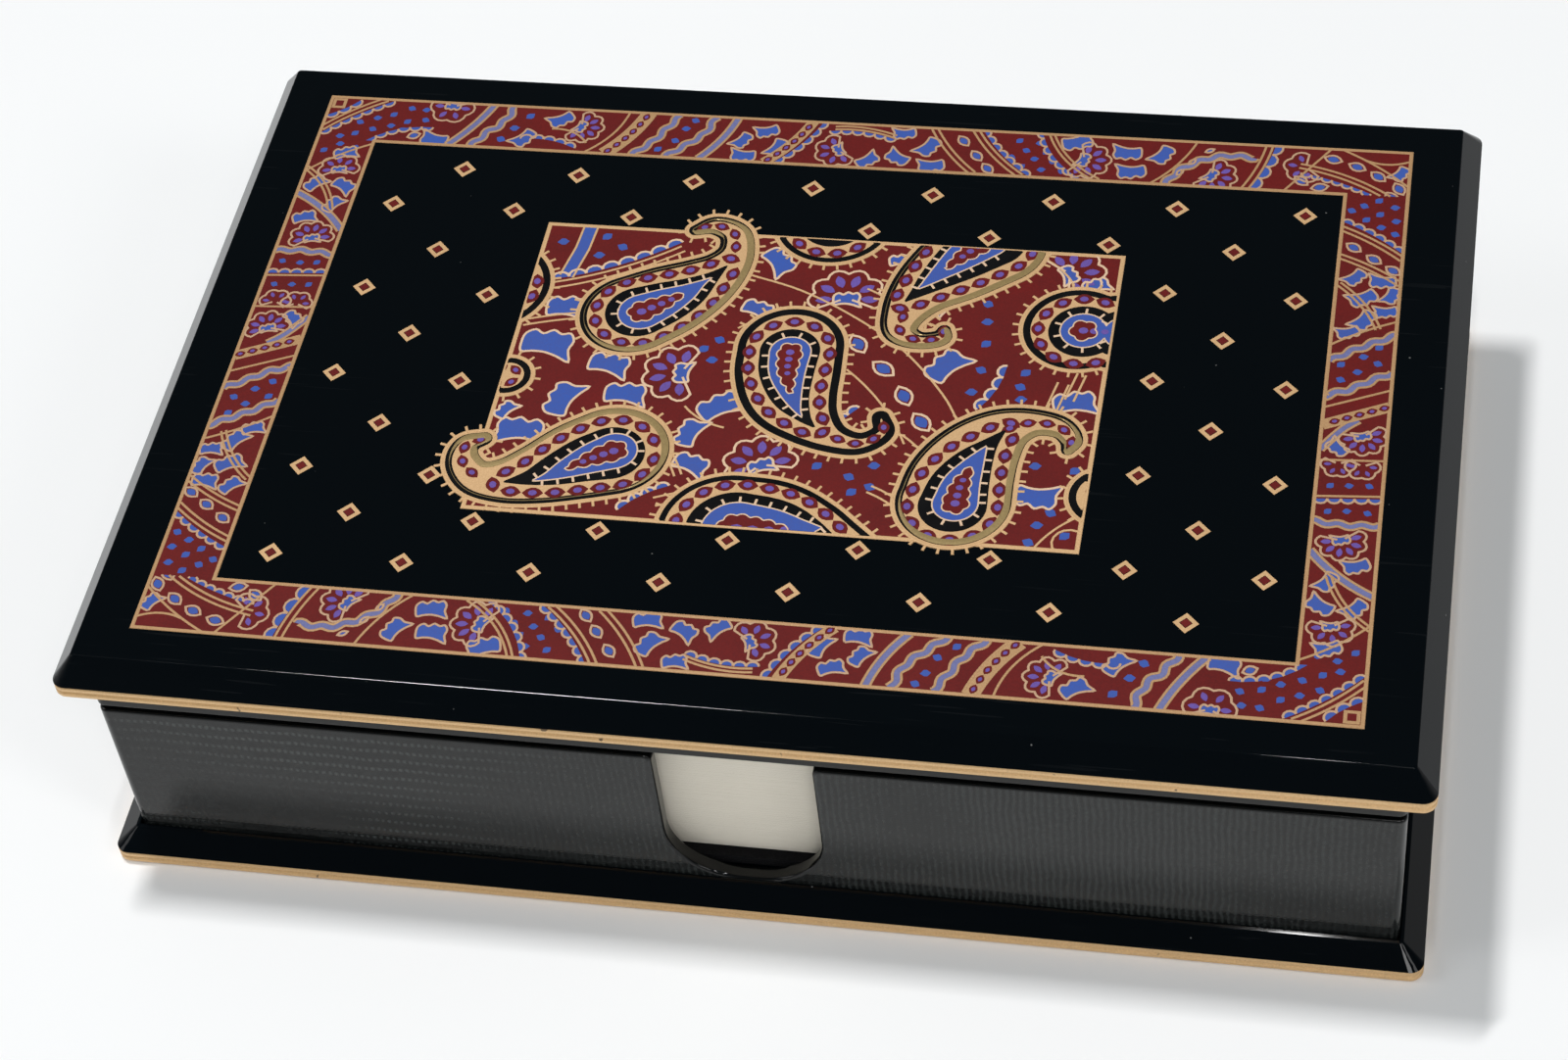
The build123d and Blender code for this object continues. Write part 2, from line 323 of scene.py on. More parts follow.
@dataclass(frozen=True)
class Lacquer(Finish):
    """Polished black lacquer with marks of use."""

    scratch: float
    speck: float
    scratched: Colour = linear(70, 72, 74)
    dust: Colour = linear(150, 150, 148)

    def draw(self, wire: Wiring) -> dict[str, Number]:
        """Adds this finish's own nodes.

        Args:
            wire: The material's wiring.

        Returns:
            What goes into the shader's inputs, by their names.
        """
        marks = wire.effect(EFFECTS.handling, Scratch_Share=self.scratch, Speck_Share=self.speck)
        colour = wire.mix(marks["Scratch"], self.colour, self.scratched)
        rough = self.rough(wire, marks["Smudge"], 0.035)
        return {"IOR": 1.24, "Base Color": wire.mix(marks["Speck"], colour, self.dust),
                "Roughness": wire.plus(rough, wire.times(marks["Scratch"], 0.25)),
                "Normal": wire.bump(marks["Scratch"], -0.00001, 0.5)}


@dataclass(frozen=True)
class Gilding(Finish):
    """Gilt edges and lines: a warm, slightly uneven, half-metallic paint."""

    metal: float
    worn: Colour
    chipped: float = 0.0
    chip: Colour = linear(40, 30, 24)

    def draw(self, wire: Wiring) -> dict[str, Number]:
        """Adds this finish's own nodes.

        Args:
            wire: The material's wiring.

        Returns:
            What goes into the shader's inputs, by their names.
        """
        grain = wire.effect(EFFECTS.grain, Size=3200.0)
        chips = wire.span(wire.noise(wire.place(), 420.0), 0.71, 0.74)
        colour = wire.mix(wire.times(grain["Speckle"], 0.35), self.colour, self.worn)
        return {"Metallic": self.metal, "IOR": 1.5,
                "Base Color": wire.mix(wire.times(chips, self.chipped), colour, self.chip),
                "Roughness": self.rough(wire, grain["Cloud"], 0.12),
                "Normal": wire.bump(grain["Speckle"], 0.00002, 0.35)}


@dataclass(frozen=True)
class Ink(Finish):
    """A printed colour under varnish, with its speckle."""

    second: Colour
    spread: float = 0.4

    def draw(self, wire: Wiring) -> dict[str, Number]:
        """Adds this finish's own nodes.

        Args:
            wire: The material's wiring.

        Returns:
            What goes into the shader's inputs, by their names.
        """
        grain = wire.effect(EFFECTS.grain, Size=2400.0)
        share = wire.times(wire.plus(grain["Speckle"], grain["Cloud"]), self.spread)
        return {"IOR": 1.45, "Specular IOR Level": 0.25,
                "Base Color": wire.mix(share, self.colour, self.second),
                "Roughness": self.rough(wire, grain["Cloud"], 0.1),
                "Normal": wire.bump(grain["Speckle"], 0.00001, 0.3)}


@dataclass(frozen=True)
class Linen(Finish):
    """Linen-textured covering paper with a satin varnish, its threads lightened by a painted glint colour."""

    # painted highlight colour where light catches the threads
    thread_glint: Colour = linear(54, 58, 57)
    relief: float = 0.00003
    strength: float = 0.12

    def draw(self, wire: Wiring) -> dict[str, Number]:
        """Adds this finish's own nodes.

        Args:
            wire: The material's wiring.

        Returns:
            What goes into the shader's inputs, by their names.
        """
        weave = wire.effect(EFFECTS.weave)
        grain = wire.effect(EFFECTS.grain, Size=1500.0)
        # the base colour is mixed towards the painted glint colour by the weave's glint share
        return {"IOR": 1.37, "Base Color": wire.mix(weave["Glint Share"], self.colour, self.thread_glint),
                "Roughness": self.rough(wire, grain["Cloud"], 0.05),
                "Normal": wire.bump(weave["Height"], self.relief, self.strength)}


@dataclass(frozen=True)
class Paper(Finish):
    """Note paper seen on its cut edges: fine level lines, a little darker as painted shade between the sheets,
    and a soft tooth.
    """

    shaded: Colour = linear(176, 168, 152)

    def draw(self, wire: Wiring) -> dict[str, Number]:
        """Adds this finish's own nodes.

        Args:
            wire: The material's wiring.

        Returns:
            What goes into the shader's inputs, by their names.
        """
        place = wire.place()
        level = wire.stretched(place, (0.02, 0.02, 1.0))
        lines = wire.span(wire.noise(level, 5200.0, 1.0), 0.35, 0.65)
        tooth = wire.noise(place, 2600.0)
        return {"Sheen Weight": 0.1, "IOR": 1.4,
                # the level lines mix towards the shaded colour: painted shade between the sheets
                "Base Color": wire.mix(wire.times(lines, 0.05), self.colour, self.shaded),
                "Normal": wire.bump(wire.plus(wire.times(lines, 0.1), tooth), 0.00001, 0.15)}


@dataclass(frozen=True)
class Felt(Finish):
    """Felt and lining: short fibres with a soft sheen."""

    fibre: Colour = linear(46, 46, 46)
    sheen: float = 0.4
    gloss: float = 0.3

    def draw(self, wire: Wiring) -> dict[str, Number]:
        """Adds this finish's own nodes.

        Args:
            wire: The material's wiring.

        Returns:
            What goes into the shader's inputs, by their names.
        """
        fibres = wire.span(wire.noise(wire.place(), 2200.0, 3.0), 0.35, 0.7)
        return {"Sheen Weight": self.sheen, "Sheen Roughness": 0.5, "Specular IOR Level": self.gloss,
                "Base Color": wire.mix(fibres, self.colour, self.fibre),
                "Normal": wire.bump(fibres, 0.00012, 0.5)}


@dataclass(frozen=True)
class Brass(Finish):
    """Drawn brass with a brushed grain and a little tarnish."""

    tarnish: Colour = linear(120, 86, 42)

    def draw(self, wire: Wiring) -> dict[str, Number]:
        """Adds this finish's own nodes.

        Args:
            wire: The material's wiring.

        Returns:
            What goes into the shader's inputs, by their names.
        """
        place = wire.place()
        drawn = wire.stretched(place, (0.05, 1.0, 1.0))
        brushed = wire.span(wire.noise(drawn, 5200.0), 0.3, 0.7)
        cloud = wire.span(wire.noise(place, 260.0, 3.0), 0.45, 0.75)
        return {"Metallic": 1.0, "Base Color": wire.mix(wire.times(cloud, 0.7), self.colour, self.tarnish),
                "Roughness": self.rough(wire, brushed, 0.14),
                "Normal": wire.bump(brushed, 0.00001, 0.3)}


@dataclass(frozen=True)
class Finishes:
    """Every finish on the box, each made into its material once."""

    lacquer: Lacquer = Lacquer("black_lacquer", linear(3, 6, 9), 0.03, 0.05, 0.5)
    rail: Lacquer = Lacquer("grey_lacquer", linear(44, 44, 43), 0.22, 0.1, 0.3)
    edge: Gilding = Gilding("gilt_edge", linear(222, 184, 132), 0.36, 0.25, linear(170, 130, 88), 0.8)
    linen: Linen = Linen("linen_covering", linear(7, 8, 8), 0.06)
    paper: Paper = Paper("note_paper", linear(228, 221, 206), 0.75)
    felt: Felt = Felt("black_felt", linear(20, 20, 21), 0.95)
    lining: Felt = Felt("black_lining", linear(9, 9, 11), 0.7, linear(17, 17, 19), 0.02, 0.08)
    brass: Brass = Brass("brass_hardware", linear(196, 158, 92), 0.28)
    gilt: Gilding = Gilding("gilt_line", linear(214, 174, 126), 0.38, 0.2, linear(168, 126, 82))
    pale: Gilding = Gilding("pale_line", linear(222, 190, 158), 0.4, 0.1, linear(188, 150, 118))
    dusky: Gilding = Gilding("dusky_line", linear(190, 154, 122), 0.42, 0.12, linear(150, 114, 86))
    bronze: Gilding = Gilding("bronze_line", linear(186, 146, 102), 0.38, 0.2, linear(142, 102, 66))
    olive: Gilding = Gilding("olive_rim", linear(166, 142, 94), 0.3, 0.4, linear(124, 103, 66))
    black: Ink = Ink("black_enamel", linear(7, 7, 8), 0.2, linear(16, 15, 15))
    maroon: Ink = Ink("maroon_ground", linear(104, 14, 10), 0.5, linear(80, 7, 6))
    blue: Ink = Ink("blue_enamel", linear(54, 86, 166), 0.4, linear(64, 80, 146))
    violet: Ink = Ink("violet_enamel", linear(104, 84, 164), 0.45, linear(92, 66, 132))
    ribbon: Ink = Ink("ribbon_enamel", linear(112, 116, 160), 0.45, linear(92, 92, 138))


FINISHES = Finishes()
MADE: dict[str, bpy.types.Material] = {}


def material(finish: Finish) -> bpy.types.Material:
    """Gives a finish's material, and makes it the first time.

    Args:
        finish: The finish.

    Returns:
        Its material.
    """
    if finish.name not in MADE:
        MADE[finish.name] = finish.make()
    return MADE[finish.name]


# Outlines on the lid's face


def between(a: Point, b: Point, share: float) -> Point:
    """The point that lies at a share of the way from one to another."""
    return (a[0] + share * (b[0] - a[0]), a[1] + share * (b[1] - a[1]))


@dataclass(frozen=True)
class Window:
    """A rectangle that the ornament inside it is cut to."""

    low_x: float
    low_y: float
    high_x: float
    high_y: float
    scrap: float = 0.15

    def turned(self) -> "Window":
        """The rectangle after half a turn about the lid's middle."""
        return Window(-self.high_x, -self.high_y, -self.low_x, -self.low_y)

    def corners(self) -> Loop:
        """Its corners, anticlockwise."""
        left, front, right, back = self.low_x, self.low_y, self.high_x, self.high_y
        return [(left, front), (right, front), (right, back), (left, back)]

    def depth(self, x: np.ndarray, y: np.ndarray) -> np.ndarray:
        """How far points lie inside the rectangle, below 0 outside it."""
        across = np.minimum(x - self.low_x, self.high_x - x)
        return np.minimum(across, np.minimum(y - self.low_y, self.high_y - y))

    def sides(self) -> list[tuple[int, float, float]]:
        """Each side as its axis, its place and the sign of its inner side."""
        return [(0, self.low_x, 1.0), (0, self.high_x, -1.0), (1, self.low_y, 1.0), (1, self.high_y, -1.0)]

    def cut_loop(self, loop: Loop) -> Loop:
        """The part of a closed outline that lies inside.

        Args:
            loop: The outline.

        Returns:
            The outline cut by each side in turn, or an empty one.
        """
        for axis, place, sign in self.sides():
            kept: Loop = []
            for here, after in zip(loop, loop[1:] + loop[:1]):
                inner, outer = (sign * (p[axis] - place) for p in (here, after))
                if inner >= 0:
                    kept.append(here)
                if (inner >= 0) != (outer >= 0):
                    kept.append(between(here, after, inner / (inner - outer)))
            loop = kept
            if len(loop) < 3:
                return []
        return loop

    def cut_path(self, path: Loop) -> list[Loop]:
        """The stretches of an open line that lie inside.

        Args:
            path: The line's points.

        Returns:
            Each stretch as a line of its own.
        """
        runs: list[Loop] = []
        run: Loop = []
        for here, after in zip(path, path[1:]):
            low, high = 0.0, 1.0
            for axis, place, sign in self.sides():
                start, end = (sign * (p[axis] - place) for p in (here, after))
                if start < 0 and end < 0:
                    low, high = 1.0, 0.0
                    break
                if (start < 0) != (end < 0):
                    share = start / (start - end)
                    low, high = (max(low, share), high) if start < 0 else (low, min(high, share))
            if low >= high:
                continue
            run = run or [between(here, after, low)]
            run.append(between(here, after, high))
            if high < 1.0:
                runs.append(run)
                run = []
        runs.append(run)
        return [r for r in runs if sum(math.dist(a, b) for a, b in zip(r, r[1:])) > self.scrap]


def unit(rows: np.ndarray) -> np.ndarray:
    """Rows of coordinates, each brought to a length of 1."""
    return rows / np.maximum(np.linalg.norm(rows, axis=1, keepdims=True), TINY)


def turn_of(direction: Point) -> float:
    """A direction's turn from x in degrees, anticlockwise."""
    return math.degrees(math.atan2(direction[1], direction[0]))


def smooth(points: list[tuple], steps: int = 6, closed: bool = False) -> list[tuple]:
    """Runs a smooth curve through points, each with any number of coordinates.

    Args:
        points: What the curve goes through.
        steps: How many pieces each stretch is cut into.
        closed: Whether the last point joins the first.

    Returns:
        The curve's points.
    """
    if len(points) < 3:
        return list(points)
    knots = np.array(points, float)
    if closed:
        before, after, beyond = (np.roll(knots, shift, 0) for shift in (1, -1, -2))
    else:
        before = np.vstack([2 * knots[0] - knots[1], knots[:-1]])
        after = np.vstack([knots[1:], 2 * knots[-1] - knots[-2]])
        beyond = np.vstack([knots[2:], after[-1], after[-1]])
    curve: list[tuple] = []
    for i in range(len(knots) if closed else len(knots) - 1):
        for t in np.arange(steps) / steps:
            point = 0.5 * (2 * knots[i] + (after[i] - before[i]) * t
                           + (2 * before[i] - 5 * knots[i] + 4 * after[i] - beyond[i]) * t ** 2
                           + (3 * knots[i] - before[i] - 3 * after[i] + beyond[i]) * t ** 3)
            curve.append(tuple(point.tolist()))
    return curve if closed else curve + [tuple(knots[-1].tolist())]


def walk(path: Loop, spacing: float, start: float = 0.0) -> list[tuple[Point, Point]]:
    """Steps along a line.

    Args:
        path: The line's points.
        spacing: Distance from step to step.
        start: Distance of the first step from the line's start.

    Returns:
        Each step's point and the direction there.
    """
    found: list[tuple[Point, Point]] = []
    gone, goal = 0.0, start
    for a, b in zip(path, path[1:]):
        run = math.dist(a, b)
        while run > 0 and goal <= gone + run:
            direction = ((b[0] - a[0]) / run, (b[1] - a[1]) / run)
            found.append((between(a, b, (goal - gone) / run), direction))
            goal += spacing
        gone += run
    return found


def beside(path: Loop, distance: float) -> Loop:
    """A line beside another.

    Args:
        path: The other line.
        distance: How far to its left, or to its right where that is below 0.

    Returns:
        The line's points.
    """
    places = np.array(path)
    slope = unit(np.gradient(places, axis=0))
    moved = places + distance * np.column_stack([-slope[:, 1], slope[:, 0]])
    return [tuple(p) for p in moved.tolist()]


def bow(x: float, y: float, to_x: float, to_y: float, rise: float = 0.0) -> Loop:
    """A line bowed to its left.

    Args:
        x: Its start.
        y: Its start.
        to_x: Its end.
        to_y: Its end.
        rise: How far its middle is bowed out.

    Returns:
        Its points.
    """
    steps, run = 10, math.dist((x, y), (to_x, to_y))
    left = (-(to_y - y) / run, (to_x - x) / run)
    points: Loop = []
    for t in (k / steps for k in range(steps + 1)):
        lift = rise * 4 * t * (1 - t)
        points.append((x + t * (to_x - x) + lift * left[0], y + t * (to_y - y) + lift * left[1]))
    return points


def placed(points: Loop, x: float, y: float, size: float = 1.0, turn: float = 0.0) -> Loop:
    """Sets a shape down at x and y, enlarged to a size and turned anticlockwise by so many degrees."""
    c, s = math.cos(math.radians(turn)), math.sin(math.radians(turn))
    return [(x + size * (c * px - s * py), y + size * (s * px + c * py)) for px, py in points]


def lens(length: float, width: float) -> Loop:
    """A pointed oval along x, about 0, 0.

    Args:
        length: Its length.
        width: Its width.

    Returns:
        Its points.
    """
    steps, fullness = 5, 0.8
    upper = [(-length / 2 + length * k / steps, width / 2 * math.sin(math.pi * k / steps) ** fullness)
             for k in range(steps)]
    return [(-x, -y) for x, y in upper] + upper


def ring(radius: float, squash: float = 1.0, count: int = 10) -> Loop:
    """A round, oval or regular outline about 0, 0."""
    turns = [math.tau * k / count for k in range(count)]
    return [(radius * math.cos(t), radius * squash * math.sin(t)) for t in turns]


def area_of(loop: Loop) -> float:
    """Twice the area of a closed outline, above 0 when it runs anticlockwise."""
    return sum(a[0] * b[1] - b[0] * a[1] for a, b in zip(loop, loop[1:] + loop[:1]))


class Swell:
    """A shape that swells and tapers along a spine: the union of round spots."""

    def __init__(self, spine: tuple[Spot, ...]) -> None:
        """Takes the spine's points, each an x, a y and the spot's radius there."""
        self.spots = np.array(smooth(list(spine), SPINE_STEPS))

    def depth(self, x: np.ndarray, y: np.ndarray) -> np.ndarray:
        """How far points lie inside the shape.

        Args:
            x: Each point's x.
            y: Each point's y.

        Returns:
            Each point's depth, below 0 outside.
        """
        best = np.full(x.shape, -np.inf)
        for px, py, radius in self.spots:
            np.maximum(best, radius - np.hypot(x - px, y - py), out=best)
        return best

    def loops(self, inset: float, step: float = 0.3, window: Window | None = None) -> list[Loop]:
        """The shape's outline, or one inside it.

        Args:
            inset: How far inside the outline, below 0 outside it.
            step: Pitch of the grid that finds it.
            window: A rectangle that cuts it.

        Returns:
            The outline's loops, anticlockwise.
        """
        margin = max(0.0, -inset) + 3 * step
        low = (self.spots[:, :2] - self.spots[:, 2:]).min(0) - margin
        high = (self.spots[:, :2] + self.spots[:, 2:]).max(0) + margin
        xs, ys = (np.arange(low[axis], high[axis] + step, step) for axis in (0, 1))
        x, y = np.meshgrid(xs, ys, indexing="ij")
        height = self.depth(x, y) - inset
        if window:
            height = np.minimum(height, window.depth(x, y))
        return level_loops(xs, ys, height)


def level_loops(xs: np.ndarray, ys: np.ndarray, height: np.ndarray) -> list[Loop]:
    """Follows the lines where a height map crosses 0.

    Args:
        xs: The grid's x values.
        ys: The grid's y values.
        height: The height at each, above 0 inside.

    Returns:
        Closed loops with the inside on their left.
    """
    inside = height > 0
    links: dict[tuple, tuple] = {}
    places: dict[tuple, Point] = {}

    def crossing(a: tuple[int, int], b: tuple[int, int]) -> tuple:
        """Works out where the line crosses a grid edge.

        Args:
            a: One end of the edge.
            b: Its other end.

        Returns:
            The key that the crossing is kept under.
        """
        key = (min(a, b), max(a, b))
        if key not in places:
            share = height[a] / (height[a] - height[b])
            ends = [(float(xs[i]), float(ys[j])) for i, j in (a, b)]
            places[key] = tuple(float(v) for v in between(*ends, share))
        return key

    mixed = inside[:-1, :-1].astype(int) + inside[1:, :-1] + inside[:-1, 1:] + inside[1:, 1:]
    for i, j in zip(*np.nonzero((mixed > 0) & (mixed < 4))):
        cell = [(i, j), (i + 1, j), (i + 1, j + 1), (i, j + 1)]
        sides = list(zip(cell, cell[1:] + cell[:1]))
        outs = [crossing(a, b) for a, b in sides if inside[a] and not inside[b]]
        ins = [crossing(a, b) for a, b in sides if inside[b] and not inside[a]]
        links.update(zip(outs, ins))
    loops: list[Loop] = []
    while links:
        start, here = links.popitem()
        keys = [start, here]
        while here in links:
            here = links.pop(here)
            keys.append(here)
        points = [places[k] for k in keys[:-1]]
        if len(points) >= FEWEST_CROSSINGS:
            loops.append(points[::2] if area_of(points) > 0 else points[::-1][::2])
    return loops


# Relief pieces


def pick(*pieces: bpy.types.Object) -> None:
    """Makes an operator act on these pieces only.

    Args:
        *pieces: What is selected, with the first one active.
    """
    bpy.ops.object.select_all(action="DESELECT")
    for piece in pieces:
        piece.select_set(True)
    bpy.context.view_layer.objects.active = pieces[0]


def mesh_piece(name: str, points: list[Spot], faces: list[tuple[int, ...]]) -> bpy.types.Object:
    """Makes an object at the origin.

    Args:
        name: Its name.
        points: Its points, in metres.
        faces: Its faces, each by the numbers of its points.

    Returns:
        The object.
    """
    mesh = bpy.data.meshes.new(name)
    mesh.from_pydata(points, [], faces)
    mesh.update()
    piece = bpy.data.objects.new(name, mesh)
    bpy.context.scene.collection.objects.link(piece)
    return piece


def finish_piece(piece: bpy.types.Object, finish: Finish, body: Body,
                 angle: float = 40.0) -> None:
    """Gives a finished mesh its material, its smooth faces and its body.

    Args:
        piece: The mesh's object, at the origin.
        finish: What it is made of.
        body: The body that it rides on.
        angle: Edges flatter than this are smooth.
    """
    piece.data.materials.clear()
    piece.data.materials.append(material(finish))
    pick(piece)
    bpy.ops.object.shade_smooth_by_angle(angle=math.radians(angle))
    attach(piece, body.value)
    LOG.info("%s: %d faces, rides on %s", piece.name, len(piece.data.polygons), body.value)


@dataclass
class Relief:
    """Raised print of one finish, gathered shape by shape and built as one piece."""

    name: str
    finish: Finish
    slot: str | None = None
    points: list[Spot] = field(default_factory=list)
    faces: list[tuple[int, ...]] = field(default_factory=list)
    laid: int = 0
    sunk: float = 0.03
    hair: float = 0.0006
    hairs: int = 17
    sharpest: float = 0.6
    least_area: float = 0.02
    profile: tuple[Point, ...] = ((-0.5, -1.0), (-0.38, 0.62), (0.0, 1.0), (0.38, 0.62), (0.5, -1.0))

    def plate(self, loop: Loop, layer: Layer) -> None:
        """Adds a flat raised shape, a hair higher or lower than the one before, in case they overlap.

        Args:
            loop: Its outline.
            layer: The layer that its face is on.
        """
        if len(loop) < 3 or abs(area_of(loop)) < self.least_area:
            return
        if area_of(loop) < 0:
            loop = loop[::-1]
        count, first = len(loop), len(self.points)
        self.laid += 1
        level = layer.height + self.hair * (self.laid % self.hairs)
        self.points += [(x, y, -self.sunk) for x, y in loop] + [(x, y, level) for x, y in loop]
        self.faces.append(tuple(range(first + count, first + 2 * count)))
        self.faces.append(tuple(range(first + count - 1, first - 1, -1)))
        for k in range(count):
            after = (k + 1) % count
            self.faces.append((first + k, first + after, first + count + after, first + count + k))

    def line(self, path: Loop, width: float | list[float], layer: Layer, rise: float = 0.05,
             closed: bool = False) -> None:
        """Adds a raised line with a rounded back.

        Args:
            path: The points it follows.
            width: Its width, or one for each point.
            layer: The layer that it stands on.
            rise: How far it stands above that layer.
            closed: Whether its end joins its start.
        """
        if len(path) < 2:
            return
        places = np.array(path, float)
        after = unit(np.roll(places, -1, 0) - places)
        before = np.roll(after, 1, 0)
        if not closed:
            after[-1], before[0] = before[-1], after[0]
        middle = unit(after + before)
        stretch = 1 / np.clip((middle * after).sum(1), self.sharpest, 1.0)
        side = np.column_stack([-middle[:, 1], middle[:, 0]]) * (np.array(width) * stretch)[:, None]
        first, size, last = len(self.points), len(self.profile), len(places) - 1
        for (x, y), (sx, sy) in zip(places.tolist(), side.tolist()):
            for share, lift in self.profile:
                z = -self.sunk if lift < 0 else layer.height + rise * lift
                self.points.append((x + sx * share, y + sy * share, z))
        for k in range(last + 1 if closed else last):
            here, there = first + k * size, first + (k + 1) % len(places) * size
            for c in range(size):
                d = (c + 1) % size
                self.faces.append((here + c, here + d, there + d, there + c))
        if not closed:
            self.faces.append(tuple(range(first + size - 1, first - 1, -1)))
            self.faces.append(tuple(range(first + last * size, first + last * size + size)))

    def build(self, top: float) -> None:
        """Makes the piece on the lid, whose face lies at this height in metres."""
        points = [(x * MM, y * MM, top + z * MM) for x, y, z in self.points]
        finish_piece(mesh_piece(self.name, points, self.faces), self.finish, Body.LID)


def reliefs(part: str, ribbon: Finish, gilt: Finish, pale: Finish) -> list[Relief]:
    """The reliefs of one field of the ornament.

    Args:
        part: The field's name.
        ribbon: The finish of its ribbons.
        gilt: The finish of its lines.
        pale: The finish of its outlines.

    Returns:
        The reliefs, in the order that a painter takes them.
    """
    rows = (("ground", FINISHES.maroon, None), ("leaves", FINISHES.blue, None),
            ("petals", FINISHES.violet, None), ("ribbons", ribbon, None), ("lines", gilt, "gilt_edge"),
            ("outlines", pale, "gilt_edge"))
    return [Relief(f"{part}_{name}", finish, slot) for name, finish, slot in rows]


LEAF_SHAPE: Loop = [
    (-0.46, -0.22), (-0.52, 0.04), (-0.5, 0.28), (-0.32, 0.42), (-0.14, 0.33), (0.05, 0.46), (0.24, 0.37),
    (0.42, 0.42), (0.54, 0.22), (0.5, -0.04), (0.6, -0.36), (0.32, -0.25), (0.03, -0.17), (-0.24, -0.18)]


class Motif(Enum):
    """What a painter can draw, by the name of its method."""

    LEAF = "leaf"
    FLOWER = "flower"
    DOTS = "dots"
    BEADS = "beads"
    SCALLOPS = "scallops"
    TWIN = "twin"
    BAND = "band"
    BEAD_BAND = "bead_band"
    STROKE = "stroke"


LEAF, FLOWER, DOTS, BEADS, SCALLOPS, TWIN, BAND, BEAD_BAND, STROKE = Motif


@dataclass
class Painter:
    """Draws the motifs of one field into its reliefs, inside a window."""

    ground: Relief
    enamel: Relief
    petal: Relief
    ribbon: Relief
    gilt: Relief
    pale: Relief
    window: Window
    turned: bool = False
    thin: float = 0.5
    outline: float = 0.56
    pebble: tuple[Point, ...] = ((-1.1, 0.05), (-0.35, -0.72), (0.3, -0.85), (1.1, -0.1), (0.4, 0.75),
                                 (-0.2, 0.85))
    pebble_turn: float = -20.0
    pebble_step: float = 35.0
    opening: float = math.radians(118)
    lobe_radius: float = 0.86
    lobe_depth: float = 0.16
    lobe_steps: int = 5
    petal_place: float = 0.6
    petal_size: Point = (0.46, 0.25)
    foot: Point = (0.15, -0.1)
    foot_leaf: Point = (-0.12, 0.66)
    bead_core: Point = (0.66, 0.72)
    arch_height: float = 0.46
    arch_core: float = 0.86
    band_step: float = 0.5
    chain_pitch: float = 2.3
    chain_start: float = 1.0
    chain_bead: Point = (2.1, 1.4)
    chain_heart: Point = (1.0, 0.7)

    def draw(self, rows: tuple[tuple, ...]) -> None:
        """Draws motifs in turn, each row of which holds a motif and what its method takes."""
        for motif, *values in rows:
            getattr(self, motif.value)(*values)

    def _set(self, points: Loop) -> Loop:
        """The points where this painter's field has them."""
        return [(-x, -y) for x, y in points] if self.turned else list(points)

    def fill(self, relief: Relief, loop: Loop, layer: Layer) -> None:
        """Adds a flat shape on a layer of a relief, cut to the window."""
        relief.plate(self.window.cut_loop(self._set(loop)), layer)

    def stroke(self, path: Loop, closed: bool = False, pale: bool = False) -> None:
        """Adds a gilt line, cut to the window.

        Args:
            path: The points it follows.
            closed: Whether its end joins its start.
            pale: Whether it is the outline of a motif, which is paler and a little wider.
        """
        points = self._set(path)
        if closed:
            points = points + points[:1]
        relief, width = (self.pale, self.outline) if pale else (self.gilt, self.thin)
        for run in self.window.cut_path(points):
            whole = closed and len(run) == len(points)
            relief.line(run[:-1] if whole else run, width, Layer.LINE, closed=whole)

    def leaf(self, x: float, y: float, size: float = 4.4, turn: float = 0.0, flip: bool = False) -> None:
        """Adds a blue leaf with a pale outline.

        Args:
            x: Its middle.
            y: Its middle.
            size: Its width.
            turn: Its turn in degrees.
            flip: Whether its tip is on the left.
        """
        shape = [(-px, py) for px, py in LEAF_SHAPE][::-1] if flip else LEAF_SHAPE
        loop = smooth(placed(shape, x, y, size, turn), 3, closed=True)
        self.fill(self.enamel, loop, Layer.ENAMEL)
        self.stroke(loop, closed=True, pale=True)

    def flower(self, x: float, y: float, size: float = 4.6, turn: float = 0.0, lobes: int = 6,
               leafy: bool = True) -> None:
        """Adds a daisy: a scalloped outline, violet petals and a blue leaf at its foot.

        Args:
            x: Its foot.
            y: Its foot.
            size: Its height.
            turn: Where it opens to, in degrees from straight up.
            lobes: How many petals it has.
            leafy: Whether it has the leaf.
        """
        steps, (across, down) = lobes * self.lobe_steps, self.foot
        outline: Loop = [(-across, down)]
        for share in (k / steps for k in range(steps + 1)):
            angle = self.opening * (2 * share - 1)
            radius = self.lobe_radius + self.lobe_depth * abs(math.sin(math.pi * share * lobes))
            outline.append((radius * math.sin(angle), radius * math.cos(angle)))
        self.stroke(placed(outline + [(across, down)], x, y, size, turn), pale=True)
        for k in range(lobes):
            angle = -self.opening * (2 * (k + 0.5) / lobes - 1)
            middle = (-self.petal_place * math.sin(angle), self.petal_place * math.cos(angle))
            petal = placed(lens(*self.petal_size), *middle, 1.0, 90 + math.degrees(angle))
            self.fill(self.petal, placed(petal, x, y, size, turn), Layer.PETAL)
        if leafy:
            down, share = self.foot_leaf
            self.leaf(*placed([(0.0, down)], x, y, size, turn)[0], size * share, turn)

    def dots(self, places: tuple[Point, ...], size: float = 0.85) -> None:
        """Adds small blue diamonds.

        Args:
            places: Their middles.
            size: Half their width.
        """
        for k, (x, y) in enumerate(places):
            turn = self.pebble_step * (k % 3) + self.pebble_turn
            self.fill(self.enamel, placed(self.pebble, x, y, size, turn), Layer.ENAMEL)

    def beads(self, places: tuple[Spot, ...], length: float = 4.4, width: float = 2.4) -> None:
        """Adds outlined blue lens beads.

        Args:
            places: Each one's middle and turn in degrees.
            length: Length of the outline.
            width: Width of the outline.
        """
        long, wide = self.bead_core
        for x, y, turn in places:
            self.fill(self.enamel, placed(lens(length * long, width * wide), x, y, 1.0, turn), Layer.ENAMEL)
            self.stroke(placed(lens(length, width), x, y, 1.0, turn), closed=True, pale=True)

